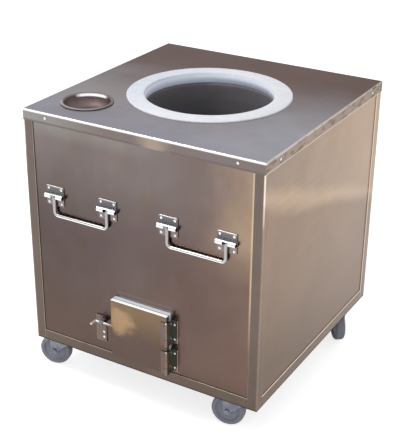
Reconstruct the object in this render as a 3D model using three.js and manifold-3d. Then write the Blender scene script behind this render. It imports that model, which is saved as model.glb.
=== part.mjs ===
// Square tandoor oven: a clay pot packed in insulation inside a steel-clad angle frame, with a
// refractory mouth ring, a water cup, a bottom fire door, drop handles and four swivel casters.
// Millimetres, +Z up, front towards -Y. The footprint's centre stands on the origin.
import * as THREE from 'three';
import { mergeVertices } from 'three/addons/utils/BufferGeometryUtils.js';
import Module from 'manifold-3d';

const wasm = await Module();
wasm.setup();

// ---- Clearances ----
const FIT = 0.3; // between fixed pieces that touch
const RUN = 0.6; // round a piece that turns or slides
const OVERRUN = 1; // of a cutting form past the face that it opens

// ---- Sides of round sections ----
const HEXAGON = 6;
const SCREW_SIDES = 8;
const ROD_SIDES = 10;
const PIN_SIDES = 12;
const BARREL_SIDES = 16;
const RACE_SIDES = 20;
const WHEEL_SIDES = 24;
const CUP_SIDES = 28;
const POT_SIDES = 32;
const RING_SIDES = 48;

// ---- Frame, cladding and lid ----
const LID_SIZE = 762; // side of the square top
const LID_SHEET = 1.2;
const LID_SKIRT = 32.6;
const FRAME_HEIGHT = 736; // corner posts
const ANGLE_LEG = 30;
const ANGLE_WALL = 3;
const PANEL_SHEET = 1.2;
const BASE_SHEET = 2.5;
const SKIRT_SCREW_INSET = 79; // from each end of a side
const SKIRT_SCREW_DROP = 16; // below the lid's top
const SCREW_RADIUS = 4;
const SCREW_RISE = 2;
const SCREW_SINK = 0.6; // into the sheet it holds

// ---- Pot, mouth ring and insulation ----
const SLAB_THICKNESS = 32;
const POT_WALL = 38;
const MOUTH_RADIUS = 187;
const POT_BELLY_RADIUS = 252; // inside
const POT_FOOT_RADIUS = 214; // inside
const POT_LIP = 6; // flare of the neck just below the mouth
const RING_RADIUS = 241; // outside, through the lid
const RING_DEPTH = 26.6; // its foot below the lid's top
const RING_RISE = 5; // above the lid
const RING_BEVEL = 5; // round its outer edge
const RING_SHOULDER = 4; // round its inner edge

// ---- Fire grate ----
const GRATE_RADIUS = 148;
const GRATE_THICKNESS = 12;
const GRATE_SLOT = 15;
const GRATE_BAR = 13;
const GRATE_RIM = 16;
const GRATE_LEG_HEIGHT = 118;
const GRATE_LEG_RADIUS = 9;
const GRATE_LEG_CIRCLE = 118;
const GRATE_LEGS = 3;

// ---- Water cup ----
const CUP_X = -259;
const CUP_Y = -243;
const CUP_RIM_RADIUS = 76;
const CUP_LIP = 7; // width of the rolled rim
const CUP_FLOOR_RADIUS = 46;
const CUP_DEPTH = 36;
const CUP_WALL = 1.5;
const CUP_HEEL = 12; // width of the curve round its floor
const CUP_HEEL_RISE = 6;
const CUP_SIDE_RISE = 20;
const CUP_SIDE_DRAFT = 3;
const CUP_RIM_RISE = 4;

// ---- Fire door, its frame and the ash duct ----
const DOOR_X = 8; // centre, right of the oven's centre line
const DOOR_Z = 131; // centre, above the frame's foot
const DOOR_SIZE = 188;
const DOOR_SHEET = 1.5;
const DOOR_DEPTH = 13;
const DOOR_GAP = 1.2; // between the shut door and its frame
const SURROUND_DEPTH = 11;
const PORT_SIZE = 140; // clear way into the pot
const DUCT_WALL = 3;

// ---- Door hinges ----
const HINGE_HEIGHT = 74;
const HINGE_DROP = [56, 150]; // hinge centres below the door's top edge
const BARREL_RADIUS = 4.5;
const HINGE_PIN_RADIUS = 2.5;
const HINGE_PLATE = 2;
const HINGE_FLAP = 16;
const HINGE_OUTSET = 2; // axis, right of the door's edge
const HINGE_SCREW_INSET = 5.3; // frame leaf's screws, from its web
const HINGE_PIN_HEAD = 3.5;
const HINGE_PIN_RISE = 3; // head above the barrel
const HINGE_RIVET_INSET = 4; // door leaf's rivets, from the barrel
const HINGE_SCREW_SPACING = 47;
const KNUCKLE_GAP = 0.4;
const KNUCKLES = 3;

// ---- Sliding door latch ----
const BOLT_RADIUS = 3.5;
const BOLT_STANDOFF = 17.5; // centre line, out from the cladding
const BOLT_Z = 133; // above the frame's foot
const BOLT_REACH = 59; // from its bend's corner to its tip
const BOLT_TIP_GAP = 2.5; // drawn back from the door's edge
const BOLT_TAIL = 23;
const BOLT_BEND = 5;
const LATCH_WIDTH = 36;
const LATCH_HEIGHT = 87;
const LATCH_PLATE = 2.5;
const LATCH_TOP_MARGIN = 14; // plate above the bolt's centre line
const LATCH_TO_DOOR = 34; // from the plate's right edge to the door
const GUIDE_WIDTH = 11;
const GUIDE_INSET = 1; // from the plate's right edge
const GUIDE_WALL = 3;
const LATCH_SCREW_DROPS = [40, 57]; // below the bolt's centre line
const LATCH_SCREW_INSET = 8; // from the plate's right edge

// ---- Drop handles ----
const HANDLE_X = 188.5; // handle centres, either side of the pair's middle
const HANDLE_SHIFT = -3.5; // the pair's middle, right of the oven's
const HANDLE_Z = 493; // pivots, above the frame's foot
const BAIL_WIDTH = 180; // between the legs' centre lines
const BAIL_DROP = 57;
const BAIL_RADIUS = 5;
const BAIL_CORNER = 12;
const BAIL_ELBOW = 8;
const BAIL_END = 22;
const BRACKET_SIZE = 60;
const BRACKET_PLATE = 2.5;
const BRACKET_CORNER = 4;
const SADDLE_WALL = 2.2;
const BRACKET_SCREW_SPACING = 43;

// ---- Casters ----
const CASTER_HEIGHT = 117; // floor to the top of the mounting plate
const CASTER_INSET = 72; // swivel axis from the lid's edges
const CASTER_TRAIL = 50;
const CASTER_HEADING_ANGLES = { front_left: 194, front_right: 190, back_left: 150, back_right: 308 };
const WHEEL_RADIUS = 50;
const WHEEL_WIDTH = 30;
const WHEEL_SHOULDER = 5.5; // bevel of the tread's edges
const WHEEL_CORE_RADIUS = 35; // inside the tyre
const WHEEL_DISH = 6; // depth of the hollow between hub and tyre
const HUB_RADIUS = 15;
const HUB_FILLET = 2;
const FORK_WALL = 2.5;
const FORK_TOP_WALL = 3;
const FORK_SIDE_GAP = 2; // to the wheel
const FORK_BACK = 14; // crown behind the swivel's axis
const FORK_FRONT = 15; // crown beyond the axle
const FORK_BOSS_RADIUS = 11;
const FORK_SHOULDER = 8;
const AXLE_RADIUS = 6;
const AXLE_HEAD = 3.5;
const AXLE_HEAD_RIM = 2;
const RACE_RADIUS = 25;
const RACE_RIM = 2;
const RACE_HEIGHT = 4;
const KINGPIN_RADIUS = 6;
const KINGPIN_HEAD_RADIUS = 9.6;
const KINGPIN_HEAD = 5.4;
const CASTER_PLATE_SIZE = 92;
const CASTER_PLATE = 3;
const CASTER_BOLT_SPACING = 72;
const CASTER_BOLT_RADIUS = 5.5;
const CASTER_BOLT_HEAD = 4;

// ---- Levels and faces that follow ----
const BASE_BOTTOM = CASTER_HEIGHT + FIT;
const BASE_TOP = BASE_BOTTOM + BASE_SHEET;
const FRAME_FOOT = BASE_TOP + FIT;
const FRAME_TOP = FRAME_FOOT + FRAME_HEIGHT;
const LID_BOTTOM = FRAME_TOP + FIT;
const LID_TOP = LID_BOTTOM + LID_SHEET;
const FRAME_HALF = LID_SIZE / 2 - LID_SHEET - FIT; // outer faces of the posts
const PANEL_FACE = FRAME_HALF - ANGLE_WALL - FIT; // outer faces of the cladding
const CORE_HALF = PANEL_FACE - PANEL_SHEET - FIT;
const SLAB_BOTTOM = FRAME_FOOT + ANGLE_WALL + FIT;
const SLAB_TOP = SLAB_BOTTOM + SLAB_THICKNESS;
const POT_FOOT = SLAB_TOP + FIT;
const RING_FOOT = LID_TOP - RING_DEPTH;
const POT_RIM = RING_FOOT - FIT;
const POT_HEIGHT = POT_RIM - POT_FOOT;
const CUP_NECK_RADIUS = CUP_RIM_RADIUS - CUP_LIP;
const CUP_FLOOR = LID_TOP + LID_SHEET - CUP_DEPTH;
const DOOR_CENTRE_Z = FRAME_FOOT + DOOR_Z;
const DOOR_LEFT = DOOR_X - DOOR_SIZE / 2;
const DOOR_RIGHT = DOOR_X + DOOR_SIZE / 2;
const DOOR_TOP = DOOR_CENTRE_Z + DOOR_SIZE / 2;
const SURROUND_BACK = PANEL_FACE + FIT;
const SURROUND_FACE = SURROUND_BACK + SURROUND_DEPTH;
const DOOR_BACK = SURROUND_FACE + DOOR_GAP;
const DOOR_FACE = DOOR_BACK + DOOR_DEPTH;
const DUCT_SIZE = PORT_SIZE + 2 * DUCT_WALL;
const HINGE_AXIS_X = DOOR_RIGHT + HINGE_OUTSET;
const HINGE_AXIS_Y = -(DOOR_FACE + FIT + BARREL_RADIUS);
const PIVOT_STANDOFF = FIT + BRACKET_PLATE + BAIL_RADIUS + RUN; // bail's axis from the cladding
const CASTER_PLACE = LID_SIZE / 2 - CASTER_INSET;

// ---- Finishes ----
const BRUSHED_STEEL = { color: 0x8a807a, roughness: 0.35, metalness: 1 };
const BRIGHT_STEEL = { color: 0xd2d4d6, roughness: 0.22, metalness: 1 };
const ZINC_PLATE = { color: 0x9a9ea6, roughness: 0.45, metalness: 0.9 };
const DARK_STEEL = { color: 0x4c4a48, roughness: 0.6, metalness: 0.8 };
const CAST_IRON = { color: 0x2e2c2b, roughness: 0.75, metalness: 0.6 };
const REFRACTORY = { color: 0xe4e4e8, roughness: 0.9, metalness: 0 };
const CLAY = { color: 0xa4674a, roughness: 0.95, metalness: 0 };
const INSULATION = { color: 0xb9aa90, roughness: 1, metalness: 0 };
const FIRE_BRICK = { color: 0xc9b48e, roughness: 0.95, metalness: 0 };
const WHEEL_RUBBER = { color: 0x737a88, roughness: 0.7, metalness: 0 };

// ---- Booleans ----
const MERGE_DISTANCE = 1e-4;

function toSolid(geometry) {
  const bare = geometry.clone();
  bare.deleteAttribute('normal');
  bare.deleteAttribute('uv');
  const merged = mergeVertices(bare, MERGE_DISTANCE);
  const corners = [];
  for (let i = 0; i < merged.index.count; i += 3) {
    const [a, b, c] = [0, 1, 2].map((k) => merged.index.getX(i + k));
    if (a !== b && b !== c && c !== a) corners.push(a, b, c);
  }
  const vertProperties = new Float32Array(merged.attributes.position.array);
  return new wasm.Manifold(
    new wasm.Mesh({ numProp: 3, vertProperties, triVerts: new Uint32Array(corners) }),
  );
}

function toGeometry(solid) {
  const mesh = solid.getMesh();
  const geometry = new THREE.BufferGeometry();
  geometry.setAttribute('position', new THREE.BufferAttribute(new Float32Array(mesh.vertProperties), 3));
  geometry.setIndex(new THREE.BufferAttribute(new Uint32Array(mesh.triVerts), 1));
  geometry.computeVertexNormals();
  return geometry;
}

function join(...geometries) {
  return toGeometry(geometries.map(toSolid).reduce((whole, next) => whole.add(next)));
}

function cut(geometry, ...tools) {
  return toGeometry(tools.map(toSolid).reduce((left, tool) => left.subtract(tool), toSolid(geometry)));
}

// ---- Basic forms ----
function block(x0, x1, y0, y1, z0, z1) {
  const geometry = new THREE.BoxGeometry(x1 - x0, y1 - y0, z1 - z0);
  return geometry.translate((x0 + x1) / 2, (y0 + y1) / 2, (z0 + z1) / 2);
}

// A round bar along Z from z0 to z1.
function bar(radius, z0, z1, sides) {
  const geometry = new THREE.CylinderGeometry(radius, radius, z1 - z0, sides);
  return geometry.rotateX(Math.PI / 2).translate(0, 0, (z0 + z1) / 2);
}

// A round bar along X from x0 to x1.
function crossBar(radius, x0, x1, sides) {
  return bar(radius, x0, x1, sides).rotateY(Math.PI / 2);
}

// Turns [radius, z] points about Z. The outline runs up its outside and down its inside.
function turned(outline, sides, start = 0) {
  const points = outline.map(([radius, z]) => new THREE.Vector2(radius, z));
  return new THREE.LatheGeometry(points, sides, start).rotateX(Math.PI / 2);
}

function turnedRing(outline, sides, start = 0) {
  return turned([...outline, outline[0]], sides, start);
}

// A low domed screw head on a face that looks along +Z, sunk a little into it.
function screwHead() {
  const outline = [
    [0, -SCREW_SINK],
    [SCREW_RADIUS, -SCREW_SINK],
    [SCREW_RADIUS, SCREW_RISE * 0.3],
    [SCREW_RADIUS * 0.65, SCREW_RISE * 0.85],
    [0, SCREW_RISE],
  ];
  return turned(outline, SCREW_SIDES);
}

// The same head on a face that looks along -Y.
function frontScrew(x, y, z) {
  return screwHead().rotateX(Math.PI / 2).translate(x, y, z);
}

function roundedRectangle(width, height, radius) {
  const [w, h] = [width / 2, height / 2];
  const shape = new THREE.Shape();
  shape.moveTo(-w + radius, -h);
  shape.lineTo(w - radius, -h);
  shape.absarc(w - radius, -h + radius, radius, -Math.PI / 2, 0);
  shape.lineTo(w, h - radius);
  shape.absarc(w - radius, h - radius, radius, 0, Math.PI / 2);
  shape.lineTo(-w + radius, h);
  shape.absarc(-w + radius, h - radius, radius, Math.PI / 2, Math.PI);
  shape.lineTo(-w, -h + radius);
  shape.absarc(-w + radius, -h + radius, radius, Math.PI, Math.PI * 1.5);
  return shape;
}

function plate(shape, thickness, curveSegments = 2) {
  return new THREE.ExtrudeGeometry(shape, { depth: thickness, bevelEnabled: false, curveSegments });
}

// A plate whose back lies against a face that looks along -Y at distance `back` from the middle.
function frontPlate(shape, thickness, back) {
  return plate(shape, thickness).rotateX(Math.PI / 2).translate(0, -back, 0);
}

// A path through corner points whose inner corners are right angles rounded to their radii.
// Its stations stand at the ends of each straight run and evenly round each bend.
const BEND_STEPS = 4;

class RodPath extends THREE.Curve {
  constructor(points, radii) {
    super();
    this.stations = [];
    const last = points.length - 1;
    const way = (i) => points[i + 1].clone().sub(points[i]).normalize();
    this.stations.push({ point: points[0], tangent: way(0) });
    for (let i = 1; i < last; i += 1) {
      const radius = radii[i - 1];
      const [before, after] = [way(i - 1), way(i)];
      const centre = points[i].clone().addScaledVector(before, -radius).addScaledVector(after, radius);
      for (let step = 0; step <= BEND_STEPS; step += 1) {
        const angle = (step / BEND_STEPS) * (Math.PI / 2);
        const [cos, sin] = [Math.cos(angle), Math.sin(angle)];
        const point = centre.clone().addScaledVector(after, -radius * cos);
        point.addScaledVector(before, radius * sin);
        const tangent = before.clone().multiplyScalar(cos).addScaledVector(after, sin);
        this.stations.push({ point, tangent });
      }
    }
    this.stations.push({ point: points[last], tangent: way(last - 1) });
  }

  station(share) {
    return this.stations[Math.round(share * (this.stations.length - 1))];
  }

  getPointAt(share, target = new THREE.Vector3()) {
    return target.copy(this.station(share).point);
  }

  getTangentAt(share, target = new THREE.Vector3()) {
    return target.copy(this.station(share).tangent);
  }
}

// A bent rod of round section.
function bentRod(points, radii, radius, sides) {
  const path = new RodPath(points, radii);
  const section = new THREE.Shape();
  for (let i = 0; i < sides; i += 1) {
    const angle = (2 * Math.PI * i) / sides;
    const [x, y] = [radius * Math.cos(angle), radius * Math.sin(angle)];
    if (i === 0) section.moveTo(x, y);
    else section.lineTo(x, y);
  }
  const steps = path.stations.length - 1;
  return new THREE.ExtrudeGeometry(section, { extrudePath: path, steps, bevelEnabled: false });
}

function place(parent, name, geometry, finish, x = 0, y = 0, z = 0) {
  const mesh = new THREE.Mesh(geometry, new THREE.MeshStandardMaterial(finish));
  mesh.name = name;
  mesh.position.set(x, y, z);
  parent.add(mesh);
  return mesh;
}

function groupIn(parent, x = 0, y = 0, z = 0, turn = 0) {
  const group = new THREE.Group();
  group.position.set(x, y, z);
  group.rotation.z = turn;
  parent.add(group);
  return group;
}

// ---- Angle frame ----
// An angle bar along Z with its outer corner on the origin and its legs along +X and +Y.
function angleBar(length) {
  const shape = new THREE.Shape();
  shape.moveTo(0, 0);
  shape.lineTo(ANGLE_LEG, 0);
  shape.lineTo(ANGLE_LEG, ANGLE_WALL);
  shape.lineTo(ANGLE_WALL, ANGLE_WALL);
  shape.lineTo(ANGLE_WALL, ANGLE_LEG);
  shape.lineTo(0, ANGLE_LEG);
  return new THREE.ExtrudeGeometry(shape, { depth: length, bevelEnabled: false });
}

// The same bar laid along X, its legs inward along +Y and upward along +Z.
function angleRail(length) {
  return angleBar(length).rotateX(Math.PI / 2).rotateZ(Math.PI / 2).translate(-length / 2, 0, 0);
}

const SIDES = ['front', 'right', 'back', 'left'];
const CORNERS = ['front_left', 'front_right', 'back_right', 'back_left'];

function addFrame(oven) {
  const railLength = 2 * (FRAME_HALF - ANGLE_LEG - FIT);
  SIDES.forEach((side, i) => {
    const turn = (i * Math.PI) / 2;
    const wall = groupIn(oven, 0, 0, 0, turn);
    const post = angleBar(FRAME_HEIGHT);
    place(wall, `post_${CORNERS[i]}`, post, BRUSHED_STEEL, -FRAME_HALF, -FRAME_HALF, FRAME_FOOT);
    place(wall, `bottom_rail_${side}`, angleRail(railLength), BRUSHED_STEEL, 0, -FRAME_HALF, FRAME_FOOT);
    const topRail = angleRail(railLength).rotateX(-Math.PI / 2);
    place(wall, `top_rail_${side}`, topRail, DARK_STEEL, 0, -FRAME_HALF, FRAME_TOP);
  });
  const half = FRAME_HALF;
  place(oven, 'base_plate', block(-half, half, -half, half, BASE_BOTTOM, BASE_TOP), DARK_STEEL);
}

// ---- Cladding ----
function addCladding(oven) {
  const bottom = FRAME_FOOT + ANGLE_WALL + FIT;
  const top = FRAME_TOP - ANGLE_WALL - FIT;
  const wide = PANEL_FACE;
  const narrow = PANEL_FACE - PANEL_SHEET - FIT;
  const inner = -PANEL_FACE + PANEL_SHEET;
  const opening = DUCT_SIZE / 2 + FIT;
  const port = block(
    DOOR_X - opening, DOOR_X + opening, -PANEL_FACE - OVERRUN, inner + OVERRUN,
    DOOR_CENTRE_Z - opening, DOOR_CENTRE_Z + opening,
  );
  SIDES.forEach((side, i) => {
    const half = i % 2 === 0 ? wide : narrow;
    const sheet = block(-half, half, -PANEL_FACE, inner, bottom, top);
    const wall = groupIn(oven, 0, 0, 0, (i * Math.PI) / 2);
    place(wall, `panel_${side}`, side === 'front' ? cut(sheet, port) : sheet, BRUSHED_STEEL);
  });
}

// ---- Lid: a folded pan with holes for the mouth ring and the cup ----
function addLid(oven) {
  const outer = LID_SIZE / 2;
  const inner = outer - LID_SHEET;
  const skirtFoot = LID_TOP - LID_SKIRT;
  const pan = cut(
    block(-outer, outer, -outer, outer, skirtFoot, LID_TOP),
    block(-inner, inner, -inner, inner, skirtFoot - OVERRUN, LID_BOTTOM),
    bar(RING_RADIUS + FIT, LID_BOTTOM - OVERRUN, LID_TOP + OVERRUN, RING_SIDES),
    bar(CUP_NECK_RADIUS + RUN, LID_BOTTOM - OVERRUN, LID_TOP + OVERRUN, CUP_SIDES).translate(CUP_X, CUP_Y, 0),
  );
  const screws = [];
  SIDES.forEach((side, i) => {
    [-1, 1].forEach((end) => {
      const screw = frontScrew(end * (outer - SKIRT_SCREW_INSET), -outer, LID_TOP - SKIRT_SCREW_DROP);
      screws.push(screw.rotateZ((i * Math.PI) / 2));
    });
  });
  place(oven, 'lid', join(pan, ...screws), BRUSHED_STEEL);
}

// ---- Clay pot, hearth, insulation and mouth ring ----
// Inside radius at a share of the pot's height: a foot, a belly and a narrow mouth.
const POT_OUTLINE = [
  [0, POT_FOOT_RADIUS],
  [0.12, POT_FOOT_RADIUS + (POT_BELLY_RADIUS - POT_FOOT_RADIUS) * 0.6],
  [0.3, POT_BELLY_RADIUS],
  [0.5, MOUTH_RADIUS + (POT_BELLY_RADIUS - MOUTH_RADIUS) * 0.97],
  [0.68, MOUTH_RADIUS + (POT_BELLY_RADIUS - MOUTH_RADIUS) * 0.77],
  [0.84, MOUTH_RADIUS + (POT_BELLY_RADIUS - MOUTH_RADIUS) * 0.36],
  [0.95, MOUTH_RADIUS + POT_LIP],
  [1, MOUTH_RADIUS],
];

function potProfile(extra) {
  return POT_OUTLINE.map(([share, radius]) => [radius + extra, POT_FOOT + share * POT_HEIGHT]);
}

// The space that the pot stands in, as a filled form that runs past the pot's foot and rim.
function potSpace() {
  const side = potProfile(POT_WALL + FIT);
  const [foot, rim] = [side[0], side[side.length - 1]];
  const [bottom, top] = [foot[1] - OVERRUN, rim[1] + OVERRUN];
  return turned([[0, bottom], [foot[0], bottom], ...side, [rim[0], top], [0, top]], POT_SIDES);
}

function portBlock(size, yFrom, yTo) {
  const half = size / 2;
  return block(DOOR_X - half, DOOR_X + half, yFrom, yTo, DOOR_CENTRE_Z - half, DOOR_CENTRE_Z + half);
}

function addHearth(oven) {
  const half = CORE_HALF;
  place(oven, 'hearth_slab', block(-half, half, -half, half, SLAB_BOTTOM, SLAB_TOP), FIRE_BRICK);

  const inside = potProfile(0).reverse();
  const shell = turnedRing([...potProfile(POT_WALL), ...inside], POT_SIDES);
  place(oven, 'clay_pot', cut(shell, portBlock(PORT_SIZE, -CORE_HALF, -POT_FOOT_RADIUS / 2)), CLAY);

  const fill = cut(
    block(-half, half, -half, half, POT_FOOT, POT_RIM),
    potSpace(),
    portBlock(DUCT_SIZE + 2 * FIT, -CORE_HALF - OVERRUN, -POT_FOOT_RADIUS),
    bar(CUP_NECK_RADIUS + RUN, CUP_FLOOR - RUN, POT_RIM + OVERRUN, CUP_SIDES).translate(CUP_X, CUP_Y, 0),
  );
  place(oven, 'insulation_fill', fill, INSULATION);

  const duct = cut(
    portBlock(DUCT_SIZE, -SURROUND_BACK, -POT_FOOT_RADIUS),
    portBlock(PORT_SIZE, -SURROUND_BACK - OVERRUN, -POT_FOOT_RADIUS + OVERRUN),
    potSpace(),
  );
  place(oven, 'ash_duct', duct, DARK_STEEL);

  const ringTop = LID_TOP + RING_RISE;
  const ring = turnedRing(
    [
      [MOUTH_RADIUS, RING_FOOT],
      [RING_RADIUS, RING_FOOT],
      [RING_RADIUS, ringTop - RING_BEVEL * 0.6],
      [RING_RADIUS - RING_BEVEL, ringTop - RING_BEVEL * 0.2],
      [RING_RADIUS - 3 * RING_BEVEL, ringTop],
      [MOUTH_RADIUS + RING_SHOULDER, ringTop - RING_SHOULDER * 0.1],
      [MOUTH_RADIUS + RING_SHOULDER * 0.4, ringTop - RING_SHOULDER * 0.35],
      [MOUTH_RADIUS + RING_SHOULDER * 0.1, ringTop - RING_SHOULDER],
    ],
    RING_SIDES,
  );
  place(oven, 'mouth_ring', ring, REFRACTORY);
}

// ---- Fire grate: a slotted disc on legs that stands on the hearth ----
function addGrate(oven) {
  const underside = POT_FOOT + GRATE_LEG_HEIGHT;
  const top = underside + GRATE_THICKNESS;
  const pitch = GRATE_SLOT + GRATE_BAR;
  const reach = GRATE_RADIUS - GRATE_RIM;
  const slots = [];
  for (let x = 0; x + GRATE_SLOT / 2 < reach - GRATE_SLOT; x += pitch) {
    const half = Math.sqrt(reach ** 2 - (x + GRATE_SLOT / 2) ** 2);
    [...new Set([-x, x])].forEach((centre) => {
      const [left, right] = [centre - GRATE_SLOT / 2, centre + GRATE_SLOT / 2];
      slots.push(block(left, right, -half, half, underside - OVERRUN, top + OVERRUN));
    });
  }
  const disc = cut(bar(GRATE_RADIUS, underside, top, RING_SIDES), ...slots);
  const legs = [];
  for (let i = 0; i < GRATE_LEGS; i += 1) {
    const angle = Math.PI / 2 + (2 * Math.PI * i) / GRATE_LEGS;
    const leg = bar(GRATE_LEG_RADIUS, POT_FOOT, underside + GRATE_THICKNESS / 2, ROD_SIDES);
    legs.push(leg.translate(GRATE_LEG_CIRCLE * Math.cos(angle), GRATE_LEG_CIRCLE * Math.sin(angle), 0));
  }
  place(oven, 'fire_grate', join(disc, ...legs), CAST_IRON);
}

// ---- Water cup: a dished bowl hung by its rolled rim ----
function addCup(oven) {
  const neck = CUP_NECK_RADIUS;
  const inner = neck - CUP_WALL;
  const rimTop = FIT + CUP_RIM_RISE;
  const floor = CUP_FLOOR - LID_TOP;
  const heel = CUP_FLOOR_RADIUS + CUP_HEEL;
  const cup = turned(
    [
      [0, floor],
      [CUP_FLOOR_RADIUS, floor],
      [heel, floor + CUP_HEEL_RISE],
      [neck - CUP_SIDE_DRAFT, floor + CUP_SIDE_RISE],
      [neck, -LID_SHEET],
      [neck, FIT],
      [CUP_RIM_RADIUS, FIT],
      [CUP_RIM_RADIUS - CUP_WALL, rimTop - CUP_WALL / 2],
      [neck + CUP_WALL, rimTop],
      [inner, rimTop - CUP_WALL],
      [inner - CUP_WALL / 2, -LID_SHEET],
      [inner - CUP_SIDE_DRAFT, floor + CUP_SIDE_RISE],
      [heel - CUP_WALL, floor + CUP_HEEL_RISE + CUP_WALL],
      [CUP_FLOOR_RADIUS - CUP_WALL, floor + CUP_WALL],
      [0, floor + CUP_WALL],
    ],
    CUP_SIDES,
  );
  place(oven, 'water_cup', cup, BRIGHT_STEEL, CUP_X, CUP_Y, LID_TOP);
}

// ---- Fire door and the surround it shuts against ----
function addFireDoor(oven) {
  const half = DOOR_SIZE / 2;
  const opening = DUCT_SIZE / 2 + FIT;
  const surround = cut(
    block(-half, half, -SURROUND_FACE, -SURROUND_BACK, -half, half),
    block(-half + DOOR_SHEET, half - DOOR_SHEET, -SURROUND_FACE - OVERRUN, -SURROUND_BACK - DOOR_SHEET,
      -half + DOOR_SHEET, half - DOOR_SHEET),
    block(-opening, opening, -SURROUND_FACE, -SURROUND_BACK + OVERRUN, -opening, opening),
  );
  place(oven, 'door_surround', surround, BRIGHT_STEEL, DOOR_X, 0, DOOR_CENTRE_Z);

  const boltHole = crossBar(BOLT_RADIUS + RUN, -half - OVERRUN, -half + DOOR_SHEET + OVERRUN, BARREL_SIDES);
  boltHole.translate(0, -PANEL_FACE - BOLT_STANDOFF, FRAME_FOOT + BOLT_Z - DOOR_CENTRE_Z);
  const pan = cut(
    block(-half, half, -DOOR_FACE, -DOOR_BACK, -half, half),
    block(-half + DOOR_SHEET, half - DOOR_SHEET, -DOOR_FACE + DOOR_SHEET, -DOOR_BACK + OVERRUN,
      -half + DOOR_SHEET, half - DOOR_SHEET),
    boltHole,
  );
  place(oven, 'fire_door', pan, BRUSHED_STEEL, DOOR_X, 0, DOOR_CENTRE_Z);
}

// ---- Hinges: a cranked leaf, a flat leaf and a loose pin, all about the hinge's own axis ----
function knuckleZone(first, last) {
  const knuckle = HINGE_HEIGHT / KNUCKLES;
  const foot = -HINGE_HEIGHT / 2;
  const from = foot + first * knuckle - KNUCKLE_GAP;
  const to = foot + last * knuckle + KNUCKLE_GAP;
  return bar(BARREL_RADIUS + RUN, from, to, BARREL_SIDES);
}

function addHinge(oven, name, z) {
  const half = HINGE_HEIGHT / 2;
  const hinge = groupIn(oven, HINGE_AXIS_X, HINGE_AXIS_Y, z);
  const barrel = bar(BARREL_RADIUS, -half, half, BARREL_SIDES);
  const bore = bar(HINGE_PIN_RADIUS + RUN / 2, -half - OVERRUN, half + OVERRUN, BARREL_SIDES);

  // The frame's leaf runs back from the barrel, then turns out along the cladding.
  const back = -HINGE_AXIS_Y - PANEL_FACE - FIT;
  const right = BARREL_RADIUS;
  const web = block(right - HINGE_PLATE, right, 0, back, -half, half);
  const flap = block(right - HINGE_PLATE, right + HINGE_FLAP, back - HINGE_PLATE, back, -half, half);
  const screws = [-1, 1].map((end) =>
    frontScrew(right + HINGE_SCREW_INSET, back - HINGE_PLATE, (end * HINGE_SCREW_SPACING) / 2),
  );
  const frameLeaf = cut(join(barrel, web, flap, ...screws), knuckleZone(1, 2), bore);
  place(hinge, `${name}_frame_leaf`, frameLeaf, ZINC_PLATE);

  // The door's leaf lies on the door's face and runs into the back of the barrel.
  const front = BARREL_RADIUS - HINGE_PLATE;
  const left = -BARREL_RADIUS;
  const faceFlap = block(left - HINGE_FLAP, 0, front, BARREL_RADIUS, -half, half);
  const rivets = [-1, 1].map((end) =>
    frontScrew(left - HINGE_RIVET_INSET, front, (end * HINGE_SCREW_SPACING) / 2),
  );
  const doorLeaf = cut(
    join(barrel, faceFlap, ...rivets), knuckleZone(-1, 1), knuckleZone(2, KNUCKLES + 1), bore,
  );
  place(hinge, `${name}_door_leaf`, doorLeaf, ZINC_PLATE);

  const top = half + HINGE_PIN_RISE;
  const [brim, seat] = [HINGE_PIN_HEAD, half + FIT];
  const brow = half + HINGE_PIN_RISE / 2;
  const head = turned([[0, seat], [brim, seat], [brim, brow], [brim / 2, top], [0, top]], PIN_SIDES);
  const shank = bar(HINGE_PIN_RADIUS, -half, brow, PIN_SIDES);
  place(hinge, `${name}_pin`, join(shank, head), BRIGHT_STEEL);
}

// ---- Latch: a bent rod that slides in a guide and enters the door's edge ----
function addLatch(oven) {
  const latch = groupIn(oven, 0, 0, FRAME_FOOT + BOLT_Z);
  const axisY = -(PANEL_FACE + BOLT_STANDOFF);
  const right = DOOR_LEFT - LATCH_TO_DOOR;
  const plateFront = PANEL_FACE + FIT + LATCH_PLATE;
  const bottom = LATCH_TOP_MARGIN - LATCH_HEIGHT;
  const base = block(right - LATCH_WIDTH, right, -plateFront, -PANEL_FACE - FIT, bottom, LATCH_TOP_MARGIN);
  const sleeve = BOLT_RADIUS + RUN + GUIDE_WALL;
  const guideRight = right - GUIDE_INSET;
  const guideLeft = guideRight - GUIDE_WIDTH;
  const guide = join(
    block(guideLeft, guideRight, axisY, -plateFront + LATCH_PLATE / 2, -sleeve, sleeve),
    crossBar(sleeve, guideLeft, guideRight, BARREL_SIDES).translate(0, axisY, 0),
  );
  const hole = crossBar(BOLT_RADIUS + RUN, guideLeft - OVERRUN, guideRight + OVERRUN, BARREL_SIDES);
  hole.translate(0, axisY, 0);
  const screws = LATCH_SCREW_DROPS.map((drop) => frontScrew(right - LATCH_SCREW_INSET, -plateFront, -drop));
  place(latch, 'latch_plate', cut(join(base, guide, ...screws), hole), ZINC_PLATE);

  const tip = DOOR_LEFT - BOLT_TIP_GAP;
  const bend = tip - BOLT_REACH;
  const points = [
    new THREE.Vector3(bend, axisY - BOLT_TAIL, 0),
    new THREE.Vector3(bend, axisY, 0),
    new THREE.Vector3(tip, axisY, 0),
  ];
  place(latch, 'latch_bolt', bentRod(points, [BOLT_BEND], BOLT_RADIUS, ROD_SIDES), BRIGHT_STEEL);
}

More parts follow.
